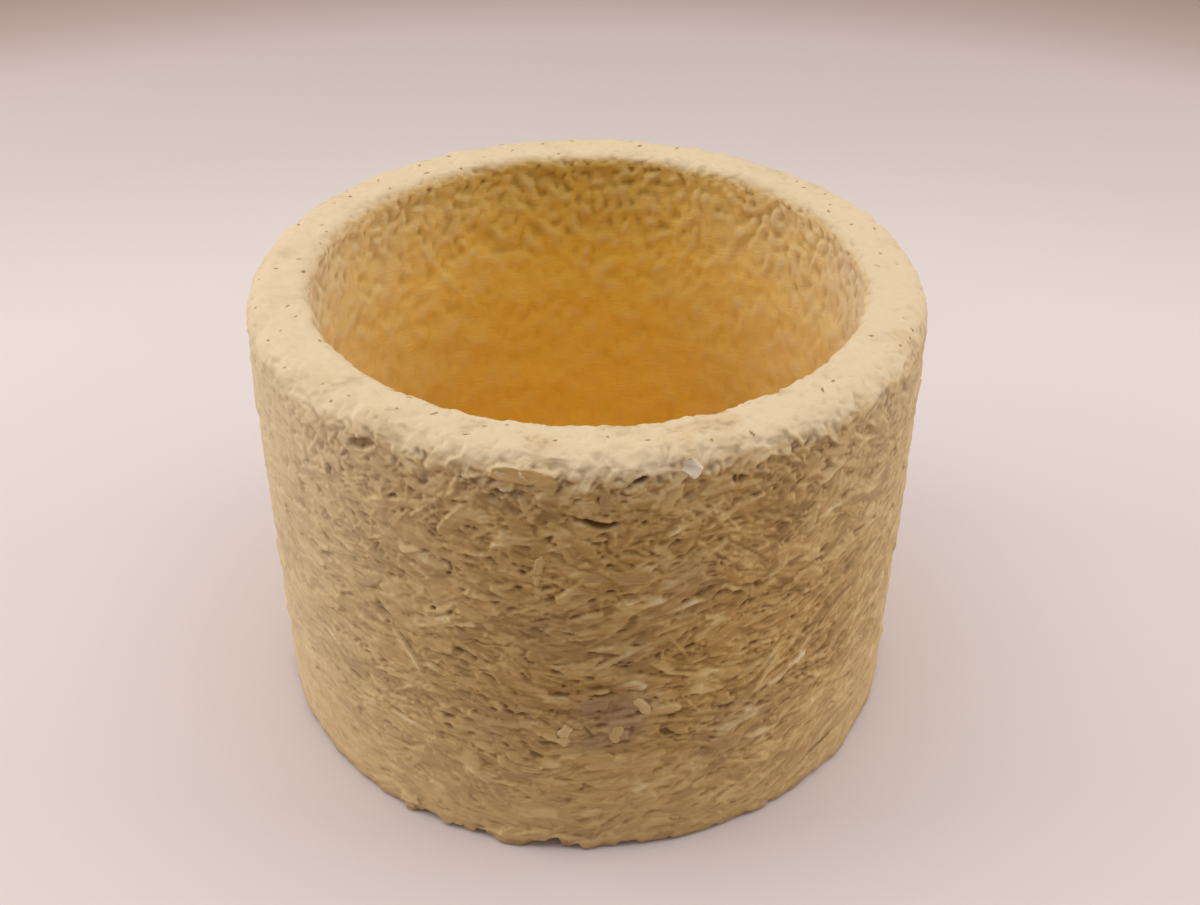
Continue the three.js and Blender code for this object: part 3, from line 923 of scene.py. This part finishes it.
def felt_over(put, given, place, spot, feel, cloth):
    """Blurs the levels into felt, stores how much painted shade each crevice gets and how much painted
    highlight each proud chip gets, and returns how far the skin rises.
    """
    laid, chip, near, beside, patchy, follow, tint = (
        put("InputNamedAttribute", {"Name": label}, data_type="FLOAT")
        for label in ("laid", "height", "near", "beside", "patchy", "follow", "tint"))
    blurred = ((near, BESIDE_BLUR), (beside, BESIDE_BLUR), (follow, FOLLOW_BLUR), (tint, TINT_BLUR))
    near, beside, follow, tint = (put("BlurAttribute", {"Value": value, "Iterations": blur})
                                  for value, blur in blurred)
    clear = put("Math SUBTRACT", (1.0, beside))
    finer = (1 / STREAK_LENGTH, 1 / STREAK_LENGTH, 1 / STREAK_WIDTH)
    streaks = put("VectorMath MULTIPLY", (sunken(put, spot), finer))
    streaks = waves(put, streaks, 1.0, 2.0, [given["Streak"]], distortion=0.6)
    banked = put("Math MULTIPLY_ADD", (near, given["Bury"], laid))
    banked = put("Math MULTIPLY_ADD", (streaks, clear, banked))
    level = put("Math MAXIMUM", (banked, chip))
    cloth = put("StoreNamedAttribute", {"Geometry": cloth, "Name": "height", "Value": level})
    raw = put("InputNamedAttribute", {"Name": "height"}, data_type="FLOAT")
    fine, soft, wide = (put("BlurAttribute", {"Value": raw, "Iterations": given[label]})
                        for label in ("Soften", "Soften more", "Crevice width"))
    felted = put("Math MULTIPLY_ADD", (patchy, PATCHY_FELT, feel["Y"]), use_clamp=True)
    felt = put("Mix", {"Factor": felted, "A": fine, "B": soft}, data_type="FLOAT")
    for label, over, under, least, most in (("depth", wide, felt, CREVICE_FROM, given["Crevice depth"]),
                                            ("proud", felt, wide, PROUD_FROM, PROUD_TO)):
        gap = put("Math SUBTRACT", (over, under))
        gap = put("MapRange", (gap, least, most, 0.0, follow))
        cloth = put("StoreNamedAttribute", {"Geometry": cloth, "Name": label, "Value": gap})
    cloth = put("StoreNamedAttribute", {"Geometry": cloth, "Name": "tint", "Value": tint})
    lumps = waves(put, place, SWELL_SIZE, 2.0, [given["Swell"], feel["Z"], clear])
    return cloth, put("Math MULTIPLY_ADD", (felt, follow, lumps))


print("streaks", STREAK_LENGTH / MM, "mm long, lumps", SWELL_SIZE / MM, "mm across")

# %% [markdown]
# ## One tree for the skin
# The tree puts these steps together: look, settle, and move each point along its own way out. The edge of
# the foot, which tore as it left the mould, is lifted raggedly, and nothing goes below the ground. Its sizes
# are inputs, so the wall and the hollow use the same tree.

# %% The draping tree
DRAPE_INPUTS = {
    "Geometry": ["Skin"], "Collection": ["Bed", "Larger chips", "Flecks"], "Material": ["Finish"],
    "Int": ["Soften", "Soften more", "Crevice width"],
    "Float": ["Reach", "Bare", "Bury", "Deepest", "Fibre depth", "Streak", "Crevice depth", "Swell", "Tear"],
}
FOOT_TEAR_SIZE, FOOT_TEAR_TOP, FOOT_TEAR_FULL, TEAR_SPAN = 5 * MM, 5 * MM, 0.4 * MM, (0.5, 0.85)
TEAR_FROM, TEAR_TO = OUTER_RADIUS - 4 * MM, OUTER_RADIUS - 0.5 * MM
ABOVE_GROUND = (-1.0, -1.0, 0.0)


def torn_foot(put, given, place, spot):
    """How far the ragged edge of the foot lifts off the ground."""
    radius = put("VectorMath LENGTH", (put("CombineXYZ", (spot["X"], spot["Y"])),)).outputs["Value"]
    edge = put("MapRange", (radius, TEAR_FROM, TEAR_TO))
    low = put("MapRange", (spot["Z"], FOOT_TEAR_TOP, FOOT_TEAR_FULL))
    torn = put("TexNoise", {"Vector": place, "Scale": 1 / FOOT_TEAR_SIZE, "Detail": 5.0})
    torn = put("MapRange", (torn, *TEAR_SPAN))
    for share in (given["Tear"], edge, low):
        torn = put("Math MULTIPLY", (torn, share))
    return torn


def draping_tree():
    tree, given, put = new_tree("drape_skin", DRAPE_INPUTS, "Draped")
    place = put("InputPosition")
    way, feel = (put("InputNamedAttribute", {"Name": label}, data_type="FLOAT_VECTOR")
                 for label in ("way", "feel"))
    feel, spot = (put("SeparateXYZ", (value,)).outputs for value in (feel, place))
    cloth = store_levels(put, given, place, feel["X"], cast_rays(put, given, place, way))
    cloth, rise = felt_over(put, given, place, spot, feel, cloth)
    rise = put("VectorMath SCALE", {0: way, "Scale": rise})
    lift = put("CombineXYZ", {"Z": torn_foot(put, given, place, spot)})
    moved = put("VectorMath ADD", (rise, lift))
    moved = put("VectorMath ADD", (place, moved))
    moved = put("VectorMath MAXIMUM", (moved, ABOVE_GROUND))
    cloth = put("SetPosition", {"Geometry": cloth, "Position": moved})
    real = put("RealizeInstances", (cloth,))
    put("NodeGroupOutput", (put("SetMaterial", {"Geometry": real, "Material": given["Finish"]}),))
    return tree


DRAPE = draping_tree()
print("draping tree", len(DRAPE.nodes), "nodes")

# %% [markdown]
# ## Draping
# The felt is thickest on the flanks and thinner at the front and back, where the chips show best. So the
# numbers of each row change a little around the pot. Afterwards the points are kept as a grid of rows and
# columns with what the tree stored, because that is easy to press, curl and colour.

# %% Drape the wall and the hollow
WALL_COLUMNS, HOLLOW_COLUMNS = 1640, 820
SETTLE = {
    "Bed": bed, "Larger chips": larger_chips, "Flecks": fleck_bed, "Finish": SKIN, "Reach": 5 * MM,
    "Bare": 0.28 * MM, "Bury": 0.3 * MM, "Deepest": 0.28 * MM, "Fibre depth": 0.2 * MM, "Streak": 1.2 * MM,
    "Soften": 1, "Soften more": 6, "Crevice width": 34, "Crevice depth": 0.6 * MM,
    "Swell": 1.5 * MM, "Tear": 3.0 * MM,
}
HOLLOW_SETTLE = SETTLE | {
    "Deepest": 0.6 * MM, "Soften more": 4, "Crevice width": 16, "Crevice depth": 1.0 * MM,
}
FELTED_SIDES, FELTED_MIDDLE = ([26, 65], [0, 1]), 8  # degrees from the barest bearing, and that bearing
BARER_BACK, INSIDE_BARER = ([110, 160], [0.0, 0.65]), 0.25
FOLLOWS_LESS, SOFTER = 0.25, 0.6


def drape(name, rows, columns, settle):
    """Drapes a stretch of the cup and returns its points and layers as rows and columns."""
    section, feel, ends = laid_rows(rows)
    outward = INSIDE_BARER + (1 - INSIDE_BARER) * np.clip(ways_out(section)[:, :1], 0, 1)
    way = rings(ways_out(section), columns)
    cloth = sweep(name, section, columns)
    put_attribute(cloth.data, "way", "FLOAT_VECTOR", way)
    side = np.abs((np.degrees(turns_of(columns)) + 270 - FELTED_MIDDLE) % 360 - 180)
    side = np.interp(side, *FELTED_SIDES)[None] * (1 - outward * np.interp(side, *BARER_BACK)[None])
    feel = np.repeat(feel[:, None], columns, axis=1)
    feel[:, :, 0] *= 1 - FOLLOWS_LESS * side
    feel[:, :, 1] += (1 - feel[:, :, 1]) * SOFTER * side
    put_attribute(cloth.data, "feel", "FLOAT_VECTOR", feel)
    run_tree(cloth, DRAPE, settle)
    layers = {}
    for layer in ("tint", "depth", "fleck", "proud", "patchy"):
        values = np.empty(len(cloth.data.vertices))
        cloth.data.attributes[layer].data.foreach_get("value", values)
        layers[layer] = values.reshape(len(section), columns)
    places = vertex_array(cloth.data, "co").reshape(len(section), columns, 3)
    bpy.data.objects.remove(cloth)
    return {"places": places, "way": way, "ends": ends, "layers": layers}


wall_skin = drape("wall_skin", WALL_ROWS, WALL_COLUMNS, SETTLE)
hollow_skin = drape("hollow_skin", HOLLOW_ROWS, HOLLOW_COLUMNS, HOLLOW_SETTLE)

# %% [markdown]
# ## Joining the two
# The hollow has half as many columns as the wall, since it is softer. Where they meet below the rim, every
# other point of the wall's last row goes midway between its neighbours, and the hollow's first rows are
# eased onto that edge, so no gap shows.

# %% Join the two where they meet below the rim
BLEND_ROWS = 8
edge = wall_skin["places"][-1]
edge[1::2] = (edge[0::2] + np.roll(edge[0::2], -1, axis=0)) / 2
miss = edge[0::2] - hollow_skin["places"][0]
fade = np.linspace(1, 0, BLEND_ROWS)[:, None, None]
hollow_skin["places"][:BLEND_ROWS] += fade * miss[None]
print("joined; the two skins missed each other by up to", round(float(np.abs(miss).max()) / MM, 2), "mm")

# %% [markdown]
# ## Lost chips and pin holes
# Here and there a chip has dropped out and left a slot, as in the solid model, and pin holes show
# where the mould breathed. They are pressed into the draped skin: each is an oval at a bearing from the front
# and a distance up the section, with its own slant and depth, and its floor is painted dark as painted shade.

# %% Press the slots and pin holes into the wall's skin
SLOTS = [  # bearing, distance up the section, length, width, slant, depth
    (1.8, 72.8, 6.5, 1.4, -8, 1.0), (7.4, 80.4, 3.0, 1.0, 28, 1.0), (-35, 79.8, 5.5, 2.2, 10, 0.6),
    (45, 7.7, 10.0, 1.2, 8, 1.2), (-24.0, 51.9, 1.1, 0.8, 0, 0.9), (-21.1, 59.9, 0.8, 0.7, 30, 0.8),
    (1.9, 37.7, 3.6, 0.7, 6, 0.6), (-3.9, 37.6, 3.2, 1.2, -10, 0.6), (-10.1, 32.1, 2.8, 0.8, 6, 0.6),
    (-4.4, 28.8, 3.0, 0.9, 80, 0.4), (7.0, 28.8, 3.4, 1.0, 85, 0.4), (5.5, 26.4, 3.4, 0.7, 4, 0.4),
    (0.1, 29.4, 2.6, 0.7, -50, 0.4), (1.9, 33.8, 0.6, 0.5, 0, 0.6),
]
SLOT_WAVE, SLOT_WAVE_SIZE, SLOT_EDGE = 0.12, 0.9 * MM, 0.5
FOOT_ROWS = 80


def turn_apart(turns, bearing):
    """Degrees from a bearing, from -180 to 180."""
    return (turns - bearing + 180) % 360 - 180


def press_slots(cloth, rows):
    """Presses each slot into the skin with a wavy edge and paints its floor dark as painted shade."""
    section = np.array(laid_rows(rows)[0])
    climb = np.concatenate([[0], np.cumsum(np.linalg.norm(np.diff(section, axis=0), axis=1))])
    climb = climb - np.interp(FOOT_ROUND, section[:FOOT_ROWS, 1], climb[:FOOT_ROWS]) + FOOT_ROUND
    turns = np.degrees(turns_of(WALL_COLUMNS)) + 90
    for bearing, up, length, width, slant, depth in SLOTS:
        across = np.radians(turn_apart(turns, bearing))[None] * OUTER_RADIUS
        rise = (climb - up * MM)[:, None]
        lean = math.radians(slant)
        along = across * math.cos(lean) + rise * math.sin(lean)
        aside = rise * math.cos(lean) - across * math.sin(lean)
        aside = aside + SLOT_WAVE * width * MM * np.sin(along / SLOT_WAVE_SIZE + bearing)
        within = 1 - (2 * along / (length * MM)) ** 2 - (2 * aside / (width * MM)) ** 2
        share = np.clip(within / SLOT_EDGE, 0, 1)
        cloth["places"] -= cloth["way"] * (share * depth * MM)[:, :, None]
        # Painted shade on the floor of the slot.
        cloth["layers"]["depth"] = np.maximum(cloth["layers"]["depth"], share * min(1, depth))


press_slots(wall_skin, WALL_ROWS)
print(len(SLOTS), "slots and pin holes")

# %% [markdown]
# ## The torn foot
# Pulled from the mould, the foot has torn: bits of its edge curl out as lips and nubs, and others have
# broken away and leave gaps that the ground's shadow fills. Each is a bump in the lowest rows of the skin,
# pushed out or lifted, and the gaps are painted dark as painted shadow.

# %% Curl the torn foot out into lips and nubs, and lift it into gaps
FOOT_BITS = [  # bearing, half width in degrees, height, out and lift in mm
    (-12.5, 4.0, 3.0, 1.2, 0.0), (-6.3, 2.4, 3.0, -0.6, 1.9), (-0.5, 3.0, 2.2, 0.8, 0.2),
    (-32.0, 1.3, 2.2, 1.2, 0.0), (-28.0, 2.2, 2.0, -0.4, 0.8), (-24.5, 1.2, 1.8, 0.8, 0.2),
    (-22.3, 0.9, 1.8, 1.0, 0.0), (-18.3, 1.4, 2.0, -0.5, 1.2), (7.0, 2.4, 2.0, -0.4, 0.7),
    (31.0, 3.0, 2.4, 0.6, 0.2), (52.0, 3.5, 3.0, 0.8, 0.3),
]
FOOT_EDGE, FOOT_EDGE_WIDTH = OUTER_RADIUS - 3.5 * MM, 3 * MM
GAP_LIFT = 0.5


def eased(share):
    """A share from 0 to 1 that starts and ends softly."""
    return share * share * (3 - 2 * share)


def bearings_of(places):
    """Degrees round from the front, to the right."""
    return np.degrees(np.arctan2(places[:, :, 0], -places[:, :, 1]))


def curl_foot(cloth):
    """Moves the lowest rows out or up at each torn bit."""
    places = cloth["places"]
    bearings = bearings_of(places)
    radius = np.hypot(places[:, :, 0], places[:, :, 1])
    edge = np.clip((radius - FOOT_EDGE) / FOOT_EDGE_WIDTH, 0, 1)
    way = places * (1, 1, 0) / radius[:, :, None]
    for bearing, half, height, out, lift in FOOT_BITS:
        near = np.clip(2 - 2 * np.abs(turn_apart(bearings, bearing)) / half, 0, 1)
        low = np.clip(1 - places[:, :, 2] / (height * MM), 0, 1)
        share = eased(near) * low * edge
        places += way * (share * out * MM)[:, :, None]
        places[:, :, 2] += share * lift * MM
        # A lifted gap is painted dark, as painted shadow.
        if lift > GAP_LIFT:
            cloth["layers"]["depth"] = np.maximum(cloth["layers"]["depth"], share)


curl_foot(wall_skin)
print(len(FOOT_BITS), "lips, nubs and gaps at the foot")

# %% [markdown]
# ## Which way the skin faces
# Where the skin faces up it is painted paler, as painted light from above, and where it faces down its cream
# is thinned, as painted shade. So the way that each point of the finished skin faces says how pale it is. The
# same directions are kept to shade the bands without a seam.

# %% Shading directions
def face_ways(places):
    """The way that each point of a grid faces, from its neighbours around and up."""
    around = np.roll(places, -1, axis=1) - np.roll(places, 1, axis=1)
    ways = np.cross(around, np.gradient(places, axis=0))
    return ways / np.linalg.norm(ways, axis=2, keepdims=True)


for cloth in (wall_skin, hollow_skin):
    cloth["normals"] = face_ways(cloth["places"])
facing_up = wall_skin["normals"][:, :, 2]
print("the wall's skin faces up at most by", round(float(facing_up.max()), 3))

# %% [markdown]
# ## Where the skin is pale
# The rim is cream, and fades raggedly into the brown wall below it. Its outer edge is worn at three places
# and mottled, and on the flanks the cream reaches further down. Where the skin faces down the cream is
# thinned, as painted shade. The upper edges of chips and the chips that stand proud get a paler tint, and
# near the rim some cream, as painted highlight. The lowest millimetres of the foot get painted shadow.

# %% Cream on the rim and the flanks
# Painted highlight: upward edges and proud chips get a paler tint all over the wall, and cream near the rim.
EDGE_SLOPE = 0.65
EDGE_CREAM = ([0, 73 * MM, 81 * MM], [0.05, 0.06, 0.5])
EDGE_TINT, EDGE_SHARE, BLOTCH = 0.18, 0.6, 0.6
BASE_SHARE = ([67 * MM, 75.5 * MM, 80 * MM, 83 * MM], [0.0, 0.08, 0.35, 1.0])
RAGGED, MOTTLE, MOTTLE_SHARP = 14 * MM, 0.4, 4
WORN = [(20, 13, 3.0), (-64, 24, 1.8), (78, 20, 1.5)]  # bearing, reach in degrees, mm
WORN_UPRIGHT, WORN_LESS_UP = 1.4, 1.5
UP_GAIN, UP_START, UP_LEAST, FLANK_GAIN, FLANK_START = 2, 0.3, 0.15, 1.1, 0.15
FLANK = ([30, 60], [0, 1])
FLANK_REACH, FLANK_RISE = ([20, 50, 90, 150], [0, 1, 1, 0]), ([45 * MM, 72 * MM], [0, 1])
LEFT_CREAM, RIGHT_CREAM = 0.38, 0.2
# Painted shadow: the lowest millimetres of the foot are darkened.
FOOT_PAINTED_SHADOW, FOOT_DARK_TOP = 0.5, 3 * MM
layers, high = wall_skin["layers"], wall_skin["places"][:, :, 2]
bearings, patchy = bearings_of(wall_skin["places"]), layers["patchy"]
layers["depth"] = np.maximum(layers["depth"], FOOT_PAINTED_SHADOW * np.clip(1 - high / FOOT_DARK_TOP, 0, 1))
worn = sum(most * MM * np.exp(-((bearings - bearing) / reach) ** 2) for bearing, reach, most in WORN)
worn = worn * np.clip(WORN_UPRIGHT - WORN_LESS_UP * facing_up, 0, 1)
base = np.interp(high + RAGGED * patchy - worn, *BASE_SHARE)
flank = np.interp(np.abs(bearings), *FLANK)
# Painted shade: the rim's cream is thinned where the skin faces down.
base = base * np.clip(facing_up * (UP_GAIN - FLANK_GAIN * flank) + UP_START - FLANK_START * flank, UP_LEAST, 1)
beside = np.interp(np.abs(bearings), *FLANK_REACH) * np.interp(high, *FLANK_RISE)
base = np.maximum(base * (1 - MOTTLE * np.clip(-MOTTLE_SHARP * patchy, 0, 1)),
                  np.where(bearings < 0, LEFT_CREAM, RIGHT_CREAM) * beside)
# Painted highlight on upper edges and proud chips.
edges = np.clip(EDGE_SHARE * (eased(np.clip(facing_up / EDGE_SLOPE, 0, 1)) + layers["proud"]), 0, 1)
layers["tint"] = layers["tint"] + BLOTCH * patchy + EDGE_TINT * edges
edges = edges * np.interp(high, *EDGE_CREAM)
outside_cream = base + (1 - base) * edges
print("cream on", round(100 * float((outside_cream > 0.3).mean())), "% of the wall's skin")

# %% [markdown]
# ## The golden inside
# Inside, the gold is painted light: the glow of light bounced round the hollow, a little less of it near
# the mouth. It is paler to the sides, and near the mouth it is painted paler as painted light, except at
# the back. Near the mouth the crevices are painted darker, and under the back rim a browner band is
# painted shade. Over the inner round of the rim the painted gold takes over from the cream along a ragged
# line. On the outside a few faint grey-brown stains lie in the wall, and the inside has none.

# %% Gold inside, and stains outside
# Painted light: the gold stands in for light bounced round the hollow, less of it near the mouth.
WARM_MOST, WARM_LOSS = 0.92, 0.15
# Near the mouth the inside is painted paler as painted light, less so at the back, and proud chips get cream as
# painted highlight.
SIDE_CREAM, MOUTH_CREAM, BACK_LOSS, PATCH_CREAM, PROUD_CREAM = 0.52, 0.45, 0.9, 0.4, 0.5
MOUTH_FROM, MIDDLE_LEFT = 60 * MM, 3 * MM
# Painted shade: crevices near the mouth are darker, and so is a band under the back rim.
MOUTH_DARK, BACK_PAINTED_SHADE = 2, 0.3
INNER_RAGGED, INNER_FROM, INNER_WIDTH = 1.2, 0.45, 0.5
STAINS = [  # bearing, height and reach in mm, share
    (-5, 51, 8, 0.2), (5, 45, 7, 0.25), (3, 33, 8, 0.5), (-14, 30, 6, 0.25), (16, 60, 6, 0.2),
    (24, 25, 8, 0.25), (110, 50, 12, 0.25), (170, 35, 14, 0.25), (215, 58, 11, 0.25), (265, 30, 12, 0.2),
]
STAIN_EDGE, STAIN_RAGGED = 1.3, 2.5


def painted_inside_layers(cloth):
    """How cream the inside is, how dark with painted shade, and how golden with painted bounce light."""
    layers, (across, behind, high) = cloth["layers"], np.moveaxis(cloth["places"], 2, 0)
    aside, back = np.abs(across + MIDDLE_LEFT) / MOUTH_RADIUS, np.clip(behind / MOUTH_RADIUS, 0, 1)
    upper = np.clip((high + RAGGED * layers["patchy"] - MOUTH_FROM) / (SEAM_LEVEL - MOUTH_FROM), 0, 1)
    cream = SIDE_CREAM * aside ** 2 + MOUTH_CREAM * upper * (1 - BACK_LOSS * back)
    cream = cream + PATCH_CREAM * layers["patchy"] + PROUD_CREAM * layers["proud"]
    dark = layers["depth"] * (1 + MOUTH_DARK * upper) + BACK_PAINTED_SHADE * upper * back ** 2
    return np.clip(cream, 0, 1), np.clip(dark, 0, 1), WARM_MOST * (1 - WARM_LOSS * upper)


start, end = wall_skin["ends"][-2:]
inner = (np.clip(np.arange(len(high)) - start, 0, None) / (end - start))[:, None]
inner = np.clip((inner + INNER_RAGGED * patchy - INNER_FROM) / INNER_WIDTH, 0, 1) * (inner > 0)
cream, depth, warm = painted_inside_layers(wall_skin)
layers["warm"] = warm * inner
layers["cream"] = outside_cream * (1 - inner) + cream * inner
layers["depth"] = layers["depth"] * (1 - inner) + depth * inner
layers["stain"] = np.zeros_like(high)
for bearing, up, reach, share in STAINS:
    round_from = np.radians(turn_apart(bearings, bearing)) * OUTER_RADIUS
    away = np.hypot(round_from, high - up * MM) / (reach * MM)
    stain = share * np.clip(STAIN_EDGE - away + STAIN_RAGGED * patchy, 0, 1)
    layers["stain"] = np.maximum(layers["stain"], stain)
layers = hollow_skin["layers"]
layers["cream"], layers["depth"], layers["warm"] = painted_inside_layers(hollow_skin)
layers["stain"] = np.zeros_like(layers["cream"])
print(len(STAINS), "stains outside, and the inside is", round(float(layers["warm"].mean()), 2), "gold")

# %% [markdown]
# ## One skin, nine bands
# At this fineness the skin is too heavy for one piece, so it is cut level into closed bands: eight from the
# foot up the wall and over the rim, and one of the hollow with the underside. Each band keeps the shading
# directions of the whole skin, so the cuts don't show.

# %% Closed bands
def band(name, cloth, runs, ring):
    """A closed piece from runs of a skin's rows and rows inside the wall, as a ring or with capped ends."""
    columns = cloth["places"].shape[1]

    def gathered(values):
        """The skin's own values on its rows, and none on the rows inside the wall."""
        none = values[:1] * 0
        return np.concatenate([values[run] if isinstance(run, range) else none.repeat(len(run), axis=0)
                               for run in runs])

    grid = np.concatenate([cloth["places"][run] if isinstance(run, range) else run for run in runs])
    first, last = np.arange(columns), np.arange((len(grid) - 1) * columns, len(grid) * columns)
    mesh = mesh_of(name, grid, grid_quads(len(grid), columns, ring), () if ring else (first[::-1], last))
    for layer, values in cloth["layers"].items():
        put_attribute(mesh, layer, "FLOAT", gathered(values))
    mesh.shade_smooth()
    mesh.normals_split_custom_set_from_vertices(gathered(cloth["normals"]).reshape(-1, 3).tolist())
    mesh.materials.append(SKIN)
    piece = bpy.data.objects.new(name, mesh)
    bpy.context.collection.objects.link(piece)
    print(name, sum(len(p.vertices) - 2 for p in mesh.polygons), "triangles")
    return piece


BAND_NAMES = ("foot_skin", "lowest_wall_skin", "low_wall_skin", "middle_wall_skin", "upper_wall_skin",
              "high_wall_skin", "collar_skin", "rim_skin")
RIM_BACK = (MOUTH_RADIUS + BAND_BACK, HEIGHT - RIM_INNER_ROUND - BAND_BACK)
last_row = len(wall_skin["places"]) - 1
cuts = [round(i * last_row / len(BAND_NAMES)) for i in range(len(BAND_NAMES) + 1)]
levels = [wall_skin["places"][row, :, 2].mean() for row in cuts[1:-1]]
inner_points = [(BACK_RADIUS, level) for level in levels] + [RIM_BACK]
backs = [rings([point], WALL_COLUMNS) for point in inner_points]
bands = []
for i, name in enumerate(BAND_NAMES):
    bands.append(band(name, wall_skin, [range(cuts[i], cuts[i + 1] + 1), backs[i], *backs[i - 1:i]], ring=True))
under = [(radius, 0.0) for radius in (FLAT_FROM, BACK_RADIUS / 2, BACK_RADIUS)]
hidden = rings(under + inner_points, HOLLOW_COLUMNS)
bands.append(band("hollow_skin", hollow_skin, [hidden, range(len(hollow_skin["places"]))], ring=False))

# %% [markdown]
# ## Pieces on the body
# Nothing moves, so every piece rides on the one body. The beds of small chips have done their work under
# the skin and go. Each named chip keeps the name of the solid that it stands for, every piece has its
# finish, and the solids that the pieces dress are hidden.

# %% Clear the beds and hang the pieces on the body
for spare in (bed, fleck_bed, chips, splinters):
    for laid in list(spare.objects):
        bpy.data.objects.remove(laid)
    bpy.data.collections.remove(spare)
bpy.data.collections.remove(larger_chips)
for piece in bands:
    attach(piece, "root")
    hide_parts("pot_body")
for chip in named_chips:
    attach(chip, "root")
    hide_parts(chip["node"])
